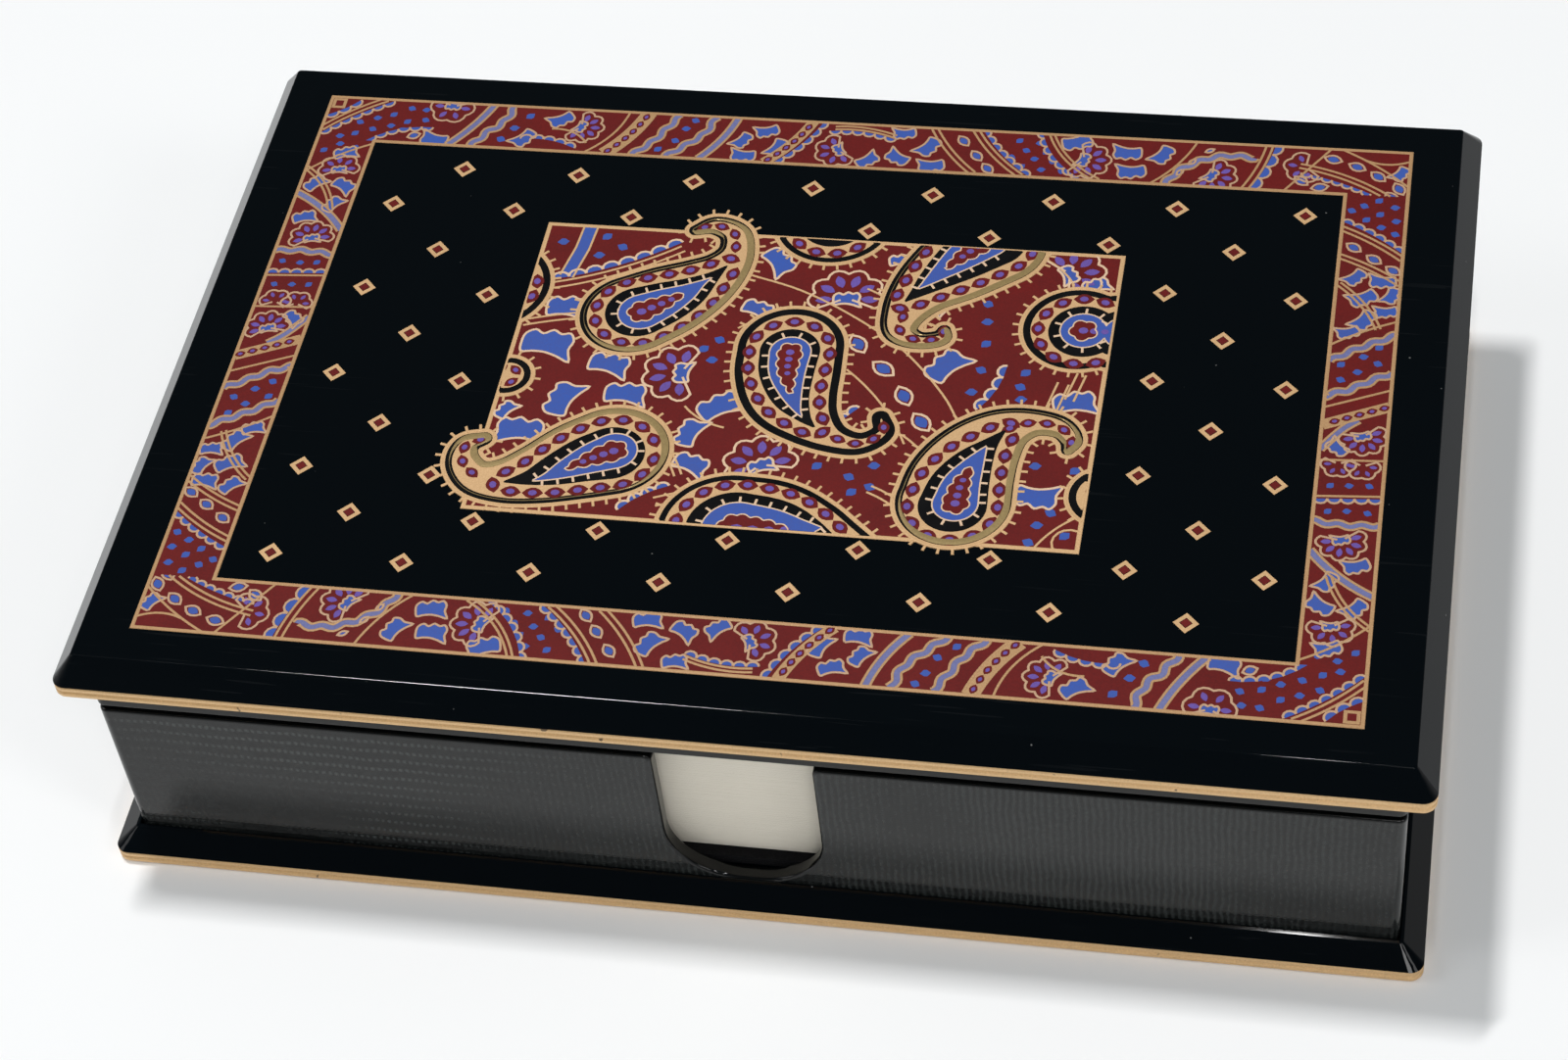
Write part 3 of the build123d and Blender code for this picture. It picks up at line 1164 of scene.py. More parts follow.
    def scallops(self, path: Loop, pitch: float = 2.3, side: float = 1.0) -> None:
        """Adds a row of blue half-rounds along a line.

        Args:
            path: The line that they stand on.
            pitch: Distance from one to the next.
            side: 1 for the line's left, -1 for its right.
        """
        turns = [math.pi * k / 6 for k in range(7)]
        arch = [(0.5 * math.cos(t), self.arch_height * math.sin(t)) for t in turns]
        for (x, y), direction in walk(path, pitch, pitch / 2):
            base = turn_of(direction) + (0 if side > 0 else 180)
            self.fill(self.enamel, placed(arch, x, y, pitch * self.arch_core, base), Layer.ENAMEL)
            self.stroke(placed(arch, x, y, pitch, base), pale=True)

    def twin(self, path: Loop, gap: float = 1.2) -> None:
        """Adds two lines side by side, a gap apart."""
        for distance in (-gap / 2, gap / 2):
            self.stroke(beside(path, distance))

    def strip(self, relief: Relief, path: Loop, width: float, layer: Layer) -> None:
        """Adds a flat strip with a gilt line down each side.

        Args:
            relief: What the strip is added to.
            path: Its middle line.
            width: Its width.
            layer: The layer that it is on.
        """
        sides = [beside(path, width / 2), beside(path, -width / 2)]
        self.fill(relief, sides[0] + sides[1][::-1], layer)
        for side in sides:
            self.stroke(side)

    def band(self, path: Loop, width: float = 1.7, wave: float = 0.0, pitch: float = 4.0) -> None:
        """Adds a ribbon: a grey-blue strip with a line down each side.

        Args:
            path: Its middle line.
            width: Its width.
            wave: How far it waves from side to side.
            pitch: Length of one wave.
        """
        dense = [point for point, _ in walk(path, self.band_step)] + [path[-1]]
        if wave:
            sway = [wave * math.sin(math.tau * self.band_step * k / pitch) for k in range(len(dense))]
            dense = [beside(dense, s)[k] for k, s in enumerate(sway)]
        self.strip(self.ribbon, dense, width, Layer.ENAMEL)

    def bead_band(self, path: Loop, width: float = 2.6) -> None:
        """Adds a gilt strip with a chain of small maroon beads.

        Args:
            path: Its middle line.
            width: Its width.
        """
        self.strip(self.gilt, path, width, Layer.LINE)
        beads = ((self.ground, lens(*self.chain_bead), Layer.EDGE),
                 (self.petal, lens(*self.chain_heart), Layer.CONTOUR))
        for (x, y), direction in walk(path, self.chain_pitch, self.chain_start):
            for relief, bead, layer in beads:
                self.fill(relief, placed(bead, x, y, 1.0, turn_of(direction)), layer)


@dataclass(frozen=True)
class Paisley:
    """One paisley: its body, the black teardrop in it, the blue leaf in that, and how it is finished."""

    spine: tuple[Spot, ...]
    teardrop: tuple[Spot, ...] = ()
    heart: tuple[Spot, ...] = ()
    contour: float = 0.9
    rim: float | None = None
    cut: bool = False
    tail: int = 0

    @property
    def window(self) -> Window | None:
        """The panel, where its frame cuts the paisley."""
        return PANEL if self.cut else None


PAISLEYS: tuple[Paisley, ...] = (
    Paisley(((-33, 14, 10.5), (-28, 17.5, 9.8), (-23, 21.5, 8), (-19, 26, 5.8), (-17, 31, 4.2),
        (-18, 36, 3.6), (-22, 38, 3), (-25.5, 36.5, 2)), ((-32, 14.5, 6.3), (-28, 17, 5.4), (-24, 20, 3.8),
        (-20.5, 24, 1.6), (-18, 27.5, 0.2)), ((-31.5, 14.5, 4.4), (-28, 17, 3.6), (-24.5, 19.8, 2.2),
        (-22, 22.5, 0.8), (-20.3, 24.2, 0.1)), 0.8, -25, tail=4),
    Paisley(((-2.5, 8, 10.3), (-2, 2, 10.2), (-0.5, -4, 9), (3, -9, 6.5), (8, -13, 4.2), (13.5, -14.2, 3.2),
        (17.3, -11.2, 2.7), (16.4, -7.6, 2.2)), ((-2.5, 7, 5.5), (-2.2, 2, 5), (-0.5, -4, 3.4),
        (2.5, -8.5, 1.4), (5, -11, 0.2)), ((-2.4, 6.7, 3.8), (-2.1, 2, 3.3), (-0.6, -3, 2), (1.2, -7, 0.7),
        (2.4, -8.8, 0.1)), 1.25, tail=4),
    Paisley(((30, 37, 11), (24.5, 31, 9.5), (19.5, 25, 7), (16.8, 19, 5), (16.5, 14, 3.8), (20, 11.8, 2.8),
        (24, 12.6, 2.6), (24.5, 14.8, 1.8)), ((30, 38, 6.5), (25.5, 33, 5.2), (21, 27.5, 3),
        (18.3, 23.8, 1.3), (16.4, 21.3, 0.2)), ((29, 38, 4.2), (25.5, 34, 3.4), (22, 29.5, 1.9),
        (19.5, 26.2, 0.7), (18.2, 24.6, 0.1)), 0.8, -40, True, 3),
    Paisley(((-30, -20, 11), (-35, -22.5, 10), (-41, -26, 8), (-47, -28.5, 6), (-52.5, -28.5, 4.6),
        (-56, -25, 3.8), (-56.3, -21, 3), (-53.5, -19.2, 2.2)), ((-30, -20.5, 6.2), (-34, -22.3, 5.3),
        (-38.5, -25, 3.8), (-43, -27.5, 1.8), (-47.5, -29, 0.2)), ((-29.5, -20, 4.2), (-33, -22, 3.5),
        (-37, -24.8, 2.2), (-40, -27, 0.9), (-42.5, -28.3, 0.1)), 0.7, 60, tail=4),
    Paisley(((32, -26, 10.7), (32.5, -20, 10), (34.5, -14, 8.3), (38, -9, 6), (43, -6.5, 4), (48, -7, 3.2),
        (50.5, -9.8, 2.7), (50.2, -12.3, 1.8)), ((32, -27, 6), (32.5, -22, 5.2), (34, -17, 3.6),
        (36.3, -12.5, 1.6), (38.7, -8.8, 0.2)), ((32.4, -26.5, 4), (32.8, -22, 3.3), (34, -18, 2.1),
        (35.3, -14.5, 0.8), (36, -12.8, 0.1)), 0.7, -60, tail=3),
    Paisley(((-6, -36, 13), (0, -36, 12.5), (6, -36.5, 10), (12, -37, 6.5), (17, -38, 4)), ((-5, -36, 8.5),
        (1, -36, 7.5), (7, -35.5, 3.8), (12.5, -36, 0.4)), ((-4.5, -36, 6.2), (1, -35.8, 5), (6, -35, 2.4),
        (10.3, -34.2, 0.1)), 0.9, cut=True),
    Paisley(((48.5, 17, 10.5), (56, 17, 9.8)), ((49.5, 16.5, 6.3), (57, 16.5, 6)), ((49.5, 16.7, 4.2),
        (57, 16.7, 3.9)), 1.1, cut=True),
    Paisley(((0, 41, 11.5), (0.1, 41, 11.5)), ((0, 40.5, 6.3), (0.1, 40.5, 6.3)), (), 0.9, cut=True),
    Paisley(((-61.5, 19, 12), (-61.4, 19, 12)), ((-61.5, 19, 7.1), (-61.4, 19, 7.1)), (), 1.1, cut=True),
    Paisley(((-53, -3.5, 5), (-52.9, -3.5, 5)), (), (), 1, cut=True),
    Paisley(((58, -22.5, 7), (58.1, -22.5, 7)), (), (), 1.1, cut=True))

PANEL = Window(-53.5, -35.3, 54.5, 36.0)


@dataclass
class PaisleyWork:
    """All the paisleys of the panel, gathered by finish. Teeth and chains are a pitch and a size."""

    gilt: Relief = field(default_factory=lambda: Relief("paisley_bands", FINISHES.gilt, "gilt_edge"))
    pale: Relief = field(default_factory=lambda: Relief("paisley_pale_lines", FINISHES.pale, "gilt_edge"))
    olive: Relief = field(default_factory=lambda: Relief("paisley_olive_rims", FINISHES.olive, "gilt_edge"))
    black: Relief = field(default_factory=lambda: Relief("paisley_black", FINISHES.black, "black_lacquer"))
    maroon: Relief = field(default_factory=lambda: Relief("paisley_beads", FINISHES.maroon))
    blue: Relief = field(default_factory=lambda: Relief("paisley_leaves", FINISHES.blue))
    violet: Relief = field(default_factory=lambda: Relief("paisley_drops", FINISHES.violet))
    edge_line: float = 0.6
    edge_rise: float = 0.07
    tooth: float = 0.58
    edge_teeth: Point = (2.35, 1.4)
    band_gap: float = 0.25
    band_gap_at_rim: float = 0.55
    rim_inset: float = 0.78
    rim_rise: float = 0.13
    rim_widths: Point = (0.12, 1.5)
    rim_fade: Point = (0.5, 0.75)
    fine_grid: float = 0.22
    heart_teeth: Point = (2.7, 1.3)
    heart_line: float = 0.36
    kernel_share: float = 0.5
    kernel_grid: float = 0.16
    kernel_line: float = 0.34
    kernel_points: int = 12
    swing: float = 0.55
    swing_pitch: float = 2.4
    drops: int = 4
    drop_pitch: float = 0.46
    drop_size: float = 0.21
    drop_loss: float = 0.02
    round_chain: Point = (4.0, 2.6)
    round_chain_gap: float = 1.85
    inner_chain: Point = (3.2, 1.9)
    inner_chain_share: float = 0.42
    tail_chain: Point = (3.4, 2.1)
    bead_share: float = 0.97
    bead_drop: float = 0.31
    touching: float = 0.01

    def trimmed(self, loop: Loop, cut: bool) -> list[Run]:
        """A loop as the lines that show of it.

        Args:
            loop: The closed outline.
            cut: Whether the panel's frame cuts it.

        Returns:
            Each line and whether it is closed.
        """
        if not cut:
            return [(loop, True)]
        runs = PANEL.cut_path(loop + loop[:1])
        if len(runs) == 1 and len(runs[0]) > len(loop):
            return [(loop, True)]
        if len(runs) > 1 and math.dist(runs[-1][-1], runs[0][0]) < self.touching:
            runs = [runs[-1] + runs[0][1:]] + runs[1:-1]
        return [(run, False) for run in runs]

    def flat(self, relief: Relief, loop: Loop, cut: bool, layer: Layer) -> None:
        """Adds a flat shape, cut to the panel where its frame cuts the paisley."""
        relief.plate(PANEL.cut_loop(loop) if cut else loop, layer)

    def outline(self, relief: Relief, loop: Loop, cut: bool, width: float, layer: Layer,
                **rise: float) -> None:
        """Adds a line along what shows of a loop, with its rise where that isn't the usual one."""
        for path, closed in self.trimmed(loop, cut):
            relief.line(path, width, layer, closed=closed, **rise)

    def combs(self, relief: Relief, loop: Loop, cut: bool, teeth: Point, layer: Layer) -> None:
        """Adds the short teeth that stand out from an outline.

        Args:
            relief: What they are added to.
            loop: The outline.
            cut: Whether the panel's frame cuts it.
            teeth: Distance from tooth to tooth, and a tooth's length.
            layer: The layer that they stand on.
        """
        pitch, length = teeth
        for path, closed in self.trimmed(loop, cut):
            for (x, y), (dx, dy) in walk(path + path[:1] if closed else path, pitch, pitch / 2):
                relief.line([(x, y), (x + dy * length, y - dx * length)], self.tooth, layer, self.edge_rise)

    def chain(self, path: Loop, beads: Point, cut: bool) -> None:
        """Adds lens beads along a line, each with a violet drop.

        Args:
            path: The line.
            beads: Distance from bead to bead, and a bead's width.
            cut: Whether the panel's frame cuts them.
        """
        pitch, width = beads
        shapes = ((self.maroon, lens(pitch * self.bead_share, width), Layer.BEAD),
                  (self.violet, ring(width * self.bead_drop, 0.8, 8), Layer.DROP))
        for (x, y), direction in walk(path, pitch, pitch / 2):
            for relief, shape, layer in shapes:
                self.flat(relief, placed(shape, x, y, 1.0, turn_of(direction)), cut, layer)

    def outside(self, one: Paisley) -> None:
        """Adds a paisley's body: outer line, contour, band, teeth and rim.

        Args:
            one: The paisley.
        """
        swell = Swell(one.spine)
        band_gap = self.band_gap if one.rim is None else self.band_gap_at_rim
        band_inset = self.edge_line + one.contour + band_gap
        flats = ((self.gilt, 0.0, Layer.EDGE), (self.black, self.edge_line, Layer.CONTOUR),
                 (self.gilt, band_inset, Layer.BAND))
        for relief, inset, layer in flats:
            for loop in swell.loops(inset, window=one.window):
                relief.plate(loop, layer)
        for loop in swell.loops(0.0):
            self.combs(self.gilt, loop, one.cut, self.edge_teeth, Layer.LINE)
            self.outline(self.gilt, loop, one.cut, self.edge_line, Layer.EDGE, rise=self.edge_rise)
        if one.rim is not None:
            for loop in swell.loops(self.edge_line + self.rim_inset):
                for path, closed in self.trimmed(loop, one.cut):
                    self.rim(path, closed, math.radians(one.rim))

    def rim(self, path: Loop, closed: bool, side: float) -> None:
        """Adds an embossed olive rim, which swells on one side of the paisley and dies out on the other.

        Args:
            path: The line that it follows.
            closed: Whether the line's end joins its start.
            side: The side's direction, as a turn from x.
        """
        slope = unit(np.gradient(np.array(path), axis=0))
        faces = slope[:, 1] * math.cos(side) - slope[:, 0] * math.sin(side)
        (least, more), (middle, steep) = self.rim_widths, self.rim_fade
        widths = least + more * np.clip(middle + steep * faces, 0.0, 1.0)
        self.olive.line(path, widths.tolist(), Layer.BAND, self.rim_rise, closed)

    def inside(self, one: Paisley) -> None:
        """Adds the black teardrop, the blue leaf with its teeth and the kernel with its drops.

        Args:
            one: The paisley.
        """
        for loop in Swell(one.teardrop).loops(0.0, self.fine_grid, one.window):
            self.black.plate(loop, Layer.TEARDROP)
        if not one.heart:
            return
        heart = Swell(one.heart)
        for loop in heart.loops(0.0, self.fine_grid):
            self.combs(self.pale, loop, one.cut, self.heart_teeth, Layer.TEARDROP)
            self.outline(self.pale, loop, one.cut, self.heart_line, Layer.LEAF)
        for loop in heart.loops(0.0, self.fine_grid, one.window):
            self.blue.plate(loop, Layer.LEAF)
        widest = max(radius for _, _, radius in one.heart)
        for loop in heart.loops(widest * self.kernel_share, self.kernel_grid):
            if len(loop) >= self.kernel_points:
                wavy = self.waved(loop)
                self.flat(self.maroon, wavy, one.cut, Layer.KERNEL)
                self.outline(self.pale, wavy, one.cut, self.kernel_line, Layer.KERNEL)
        spine = smooth([(x, y) for x, y, _ in one.heart[:4]], 8)
        for step, (spot, _) in enumerate(walk(spine, widest * self.drop_pitch)[:self.drops]):
            drop = ring(widest * (self.drop_size - self.drop_loss * step), 0.9, 8)
            self.flat(self.violet, placed(drop, *spot), one.cut, Layer.DROP)

    def waved(self, loop: Loop) -> Loop:
        """Makes a loop's line swing in and out.

        Args:
            loop: The loop.

        Returns:
            The waved loop.
        """
        places = np.array(loop)
        after = np.roll(places, -1, 0)
        steps = np.linalg.norm(after - places, axis=1)
        whole = steps.sum()
        count = max(4, round(whole / self.swing_pitch))
        gone = np.concatenate([[0.0], np.cumsum(steps)[:-1]])
        slope = unit(after - np.roll(places, 1, 0))
        reach = self.swing * np.abs(np.sin(math.pi * count * gone / whole))
        moved = places + np.column_stack([slope[:, 1], -slope[:, 0]]) * reach[:, None]
        return [tuple(p) for p in moved.tolist()]

    def chains(self, one: Paisley) -> None:
        """Adds a paisley's beads: round its teardrop or its middle, and along its tail.

        Args:
            one: The paisley.
        """
        if one.teardrop:
            for loop in Swell(one.teardrop).loops(-self.round_chain_gap):
                for path, closed in self.trimmed(loop, one.cut):
                    self.chain(path + path[:1] if closed else path, self.round_chain, one.cut)
        else:
            x, y, radius = one.spine[0]
            turns = placed(ring(radius * self.inner_chain_share, 1.0, 12), x, y)
            self.chain(turns + turns[:1], self.inner_chain, one.cut)
        if one.tail:
            tail = smooth([(x, y) for x, y, _ in one.spine[one.tail:]], 8)
            self.chain(tail, self.tail_chain, one.cut)

    def build(self, top: float) -> None:
        """Makes every paisley.

        Args:
            top: Height of the lid's face, in metres.
        """
        for one in PAISLEYS:
            self.outside(one)
            if one.teardrop:
                self.inside(one)
            self.chains(one)
        for relief in (self.gilt, self.pale, self.olive, self.black, self.maroon, self.blue, self.violet):
            relief.build(top)


# What is drawn where, in the order of drawing: each motif with what its method takes

PANEL_MOTIFS: tuple[tuple, ...] = (
    (FLOWER, -21.5, 0, 6.8, 92), (FLOWER, -3, -20.5, 6.6, 25), (FLOWER, 5.5, 21.5, 7, 5),
    (FLOWER, 45.5, 31, 6.4, -60), (LEAF, -9, 29.5, 6.5, -50), (LEAF, -10.5, 16.8, 5.4, -20),
    (LEAF, -45.5, 14, 7.5), (LEAF, -47.5, 4.5, 9, -5), (LEAF, -35, 0.5, 7, -10), (LEAF, -30.5, -6.5, 7),
    (LEAF, -41, -8.5, 7.5, 75), (LEAF, -47.5, -17, 8, 0, True), (LEAF, -12.5, -8, 7.5, 35),
    (LEAF, -16.5, -14.5, 6, 75), (LEAF, -15.5, -22, 6, -20), (LEAF, 26.5, 5.5, 7.5, 55),
    (LEAF, 50, -1.5, 7, 12), (LEAF, 46, -23, 7, 175, True), (LEAF, -51, -12, 4, 60),
    (LEAF, 50.5, 28, 4.5, 25), (LEAF, 14, 31.5, 4, 10), (LEAF, 24, 20.5, 4.2, 40, True),
    (BEADS, ((9.5, 10, -55), (15, 4.3, -35), (19.7, -2, -60), (23.7, -8, -50)), 5, 3),
    (DOTS, ((31.5, 22), (32, 17.5), (32.5, 12), (32.5, 5.5), (31.5, 0), (40.5, 5.5), (40, 2), (40.5, -1),
        (7, -20), (13, -22), (17, -19), (14, -25.5), (17, -24), (45, -16.5), (52, -17), (49, -27),
        (47, -30), (52, -32), (46, -34), (-50, 31.5), (-42, 33.5), (-38.5, 31), (-42.5, 28.5), (-18.3, 6.3),
        (-15.8, 8.8), (-16.3, 3.7)), 1.05), (BAND, [(-45.5, 36.5), (-46, 30), (-47.5, 22.5)], 2.6),
    (SCALLOPS, beside(bow(-49.5, 20, -27, 31.5, -1.2), 1.6), 3.2),
    (TWIN, bow(-49.5, 20, -27, 31.5, -1.2), 1.5), (TWIN, bow(-53, 10, -38, 13.5, 0.4), 1.4),
    (STROKE, smooth([(-14, 26), (-3, 22.5), (8, 16.5), (18, 9), (26.5, -1), (31, -9)])),
    (STROKE, smooth([(-13, 12), (-6, 18)])), (STROKE, bow(8.5, 3.5, 21.5, -13.5, 1.2)),
    (STROKE, bow(21, -11.5, 28.5, -20, 0.6)), (TWIN, bow(17, -24.5, 24, -29, 0.4), 1.6),
    (TWIN, bow(47.5, 3.5, 46, -3.5), 2), (SCALLOPS, bow(37, 7, 33.5, -3.5, 0.8), 3, -1),
    (SCALLOPS, bow(9, -9.5, 13, -4.5), 2.6), (TWIN, bow(-24, -14, -17, -24.5, 0.5), 1.3),
    (STROKE, bow(-19, -8, -11, -12.5, -0.8)), (TWIN, bow(-20, -31, -15, -29), 2),
    (SCALLOPS, bow(-26, -33.5, -19, -27.5, 0.6), 2.6), (STROKE, bow(47, -35.5, 54.5, -27, 0.8)),
    (STROKE, placed(ring(3, 1, 16), 53, -33.5, 1, 0), True), (STROKE, bow(9, 24, 18, 16, 1)),
    (TWIN, bow(50.5, 6, 49, -0.5), 1.6), (STROKE, bow(36, 36, 46.5, 28, 1.5)))

FRONT_MOTIFS: tuple[tuple, ...] = (
    (BEADS, ((-103, -58, -60), (-99, -61, -40), (-95, -63.3, -25), (-90.5, -65, -15),
        (-101.8, -55.6, -50)), 3.4, 2.1), (TWIN, bow(-103, -54, -84.5, -62.8, -1.4), 1.1),
    (SCALLOPS, bow(-98, -56.2, -85.5, -60.8, -0.4), 2), (STROKE, bow(-104.7, -58.5, -92, -67.8, -0.6)),
    (STROKE, bow(-104.7, -65.5, -96.5, -65.2, 1)), (STROKE, bow(-82, -55.9, -90, -67.8)),
    (FLOWER, -85.5, -62.5, 4, -70, 4, False), (BEADS, ((-88.5, -57.3, 15), (-85, -58.8, -40)), 3.2, 2),
    (LEAF, -102.8, -62.2, 3.6, 60), (TWIN, bow(-74.8, -55.9, -78.5, -67.8, -0.5), 1.2),
    (SCALLOPS, bow(-75.6, -55.9, -79.6, -67.8, -0.5), 3.4, -1), (FLOWER, -68.6, -58.8, 4.6, 62),
    (BAND, smooth([(-60, -56), (-62.5, -60), (-66.5, -63), (-71, -64.5), (-76, -64.2)]), 1.5, 0.35),
    (STROKE, bow(-57.2, -55.9, -65, -67.8, -0.9)),
    (BEADS, ((-62.5, -59.3, 55), (-64.5, -62.3, 50), (-67.5, -65.6, 30)), 1.8, 0.9),
    (LEAF, -53.5, -59.2, 5, 8), (LEAF, -58.6, -64, 4.6, 62), (LEAF, -52.3, -64.2, 5),
    (FLOWER, -44.5, -61.2, 4.9, 75), (LEAF, -42.3, -66.4, 5.4, 20, True),
    (TWIN, bow(-47.5, -55.9, -37.5, -67.8, 1.4), 0.9), (SCALLOPS, bow(-44.5, -55.9, -35.8, -67.8, 1.4), 2.3),
    (DOTS, ((-40.5, -57.8), (-36.6, -58), (-32.8, -58.6), (-38.5, -60.3), (-35, -60.8), (-37, -62.8),
        (-33.2, -63), (-35.5, -65.2), (-31.6, -65.6), (-30.6, -61)), 0.8),
    (SCALLOPS, bow(-34.5, -55.9, -24.5, -67.8, 0.8), 2.3, -1), (TWIN, bow(-33, -55.9, -23, -67.8, 0.8), 1.1),
    (BEADS, ((-26.5, -57.5, -50), (-24, -60.8, -50), (-21, -64.7, -50)), 3.2, 1.9),
    (TWIN, bow(-24, -55.9, -15, -67.8, 0.7), 1.1), (LEAF, -15.8, -57.8, 4.6, 10),
    (LEAF, -14.3, -62.8, 4.8, 60), (LEAF, -9.3, -59.4, 4.4, -30), (LEAF, -9.5, -66.2, 4, 10),
    (FLOWER, 2.6, -60.2, 4.4, -60, 5), (LEAF, -3.2, -58.2, 4.2, 40, True),
    (SCALLOPS, bow(-8, -64, 4, -65.6, -0.8), 2.2), (TWIN, bow(-8, -64.8, 4, -66.4, -0.8), 0.8),
    (SCALLOPS, bow(14.5, -55.9, 6.5, -67.8, -0.8), 2.5, -1),
    (BEAD_BAND, bow(16.2, -55.9, 8.5, -67.8, -0.8), 1.8), (LEAF, 14.6, -60.3, 4.4, 70),
    (LEAF, 17, -64.8, 4.2, 20), (LEAF, 20.4, -57.8, 4.4), (LEAF, 21.6, -61.8, 4, 60),
    (BAND, bow(29, -55.9, 23.2, -67.8, -0.8), 1.5),
    (BAND, smooth([(35.5, -55.9), (31.5, -60), (29, -63), (27.5, -67.8)]), 1.5, 0.35),
    (BAND, smooth([(42, -55.9), (38.6, -60), (37, -63), (34.5, -67.8)]), 1.5, 0.35),
    (DOTS, ((34.3, -60.5), (32.8, -64), (37.2, -57.9), (31.4, -66.4)), 0.85),
    (BEAD_BAND, bow(47.5, -55.9, 40.8, -67.8, -0.8), 2.7), (STROKE, bow(51.5, -55.9, 44.6, -67.8, -1.3)),
    (FLOWER, 53.2, -62.9, 4.3, 70), (LEAF, 57.8, -65, 4.6, 35),
    (SCALLOPS, bow(53.5, -56.8, 64, -58.8, -0.9), 2.3, -1), (LEAF, 64.2, -59.2, 4.6, 55),
    (STROKE, bow(51.5, -58.5, 59, -62, -1.2)), (DOTS, ((68.4, -58.3), (66.4, -61.6), (64, -65.2)), 0.95),
    (BAND, smooth([(74, -55.9), (71.5, -60), (69, -63), (67.5, -67.8)]), 1.5, 0.4),
    (BAND, bow(78.6, -55.9, 71.8, -67.8, -0.6), 1.5), (LEAF, 81.4, -57.6, 5, -10),
    (FLOWER, 80, -66.6, 4.4, -5, 4), (SCALLOPS, bow(82.5, -60.5, 95, -55.9, -1.4), 2.3),
    (BEADS, ((85.8, -58, 25),), 2.6, 1.8),
    (DOTS, ((84.5, -62.5), (85, -65.4), (88, -61.8), (88, -65.6), (91, -60.4), (91.2, -63.6), (94.4, -59.2),
        (94.2, -62.4), (97.6, -57.8), (97.4, -61), (100.4, -56.8), (88.6, -59.4)), 0.82),
    (SCALLOPS, bow(92, -67.4, 104.7, -57.2, -0.6), 2.3), (TWIN, bow(93.5, -67.8, 104.7, -58.6, -0.6), 1.1),
    (SCALLOPS, bow(98.8, -67.3, 104.5, -62.6, 0.4), 2.6))

LEFT_MOTIFS: tuple[tuple, ...] = (
    (DOTS, ((-96.5, 53.8), (-99.8, 54.6), (-102.6, 52.6)), 0.8), (LEAF, -98, 51.8, 4.2, 20),
    (STROKE, bow(-93.4, 55, -104.7, 46.5, -0.6)), (FLOWER, -98.2, 47.6, 4, 10, 5),
    (LEAF, -101.6, 43, 4.2, 50), (LEAF, -96.3, 42.8, 4.4, -30), (LEAF, -96.6, 37.6, 4, 60),
    (BAND, bow(-104.7, 40.5, -93.4, 31, 0.9), 1.5), (TWIN, bow(-104.7, 47.5, -97, 36.5, 1.2), 0.9),
    (LEAF, -101.4, 33.6, 4.2, 20), (FLOWER, -98.6, 28.6, 4.3, 15),
    (BAND, bow(-104.7, 24.6, -93.4, 24.4, 0.5), 1.4, 0.3),
    (DOTS, ((-102.5, 22), (-99, 21.8), (-95.8, 22.1)), 0.75), (SCALLOPS, bow(-104.7, 18.6, -93.4, 19.4), 2.3),
    (STROKE, bow(-104.7, 18, -93.4, 18.8)), (DOTS, ((-102.4, 15.8), (-99, 16), (-95.8, 16.2)), 0.75),
    (FLOWER, -101, 11.4, 3, 0, 4, False), (FLOWER, -96.8, 11.2, 3, 0, 4, False),
    (STROKE, bow(-104.7, 9.8, -93.4, 10.4)), (FLOWER, -100.6, 4.6, 4.2, 20), (LEAF, -96.6, 7.2, 3.8, -40),
    (BAND, smooth([(-93.4, 8), (-95.8, 4.5), (-97.4, 2.5), (-99.5, 0.6)]), 1.4),
    (BEAD_BAND, bow(-104.7, -3, -93.4, 2.2), 1.9), (STROKE, bow(-104.7, -7, -93.4, -2)),
    (BAND, smooth([(-104.7, -11.2), (-101, -9), (-97.5, -6.6), (-93.4, -4.8)]), 1.5, 0.35),
    (DOTS, ((-95.8, -8.8), (-98.6, -10.9), (-95.6, -12.5), (-102, -13.2), (-99.4, -14.7),
        (-102, -17.2)), 0.85),
    (BAND, smooth([(-93.4, -13.2), (-97, -15.8), (-100.5, -18), (-104.7, -20.4)]), 1.5, 0.35),
    (STROKE, bow(-104.7, -23.8, -93.4, -17.2, -0.4)), (LEAF, -98.6, -24, 4.6, 60),
    (LEAF, -102.6, -26.4, 3.8, 10), (LEAF, -98.2, -29.6, 4.8, 30), (LEAF, -103, -30.4, 3.8, 70),
    (LEAF, -101.6, -34, 4.4), (LEAF, -96.4, -34.6, 4, 50), (LEAF, -96.2, -20.8, 3.8, 20),
    (TWIN, bow(-101.5, -21.6, -93.8, -32.5, -0.9), 0.9), (TWIN, bow(-104.7, -33.2, -93.4, -39.6, -0.5), 1.1),
    (BEADS, ((-103.2, -36.6, -35), (-99.6, -39.2, -35), (-95.8, -42, -35)), 3.2, 2),
    (TWIN, bow(-104.7, -39.6, -93.4, -46.8, -0.5), 1.1),
    (SCALLOPS, bow(-104.7, -41, -93.4, -48.6, -0.5), 2.3, -1),
    (DOTS, ((-103, -46), (-100.4, -47.6), (-97.6, -49.4), (-94.8, -51.6), (-103, -49.4), (-100, -51),
        (-97, -53), (-102.6, -53), (-99.6, -54.6)), 0.85))


@dataclass
class Panel:
    """The maroon panel in the middle of the lid, with its frame and its filling."""

    frame_width: float = 0.95
    frame_rise: float = 0.1

    def build(self, top: float) -> None:
        """Makes the panel.

        Args:
            top: Height of the lid's face, in metres.
        """
        made = reliefs("panel", FINISHES.blue, FINISHES.gilt, FINISHES.pale)
        paint = Painter(*made, PANEL)
        paint.ground.plate(PANEL.corners(), Layer.GROUND)
        paint.gilt.line(PANEL.corners(), self.frame_width, Layer.GROUND, self.frame_rise, closed=True)
        paint.draw(PANEL_MOTIFS)
        for relief in made:
            relief.build(top)


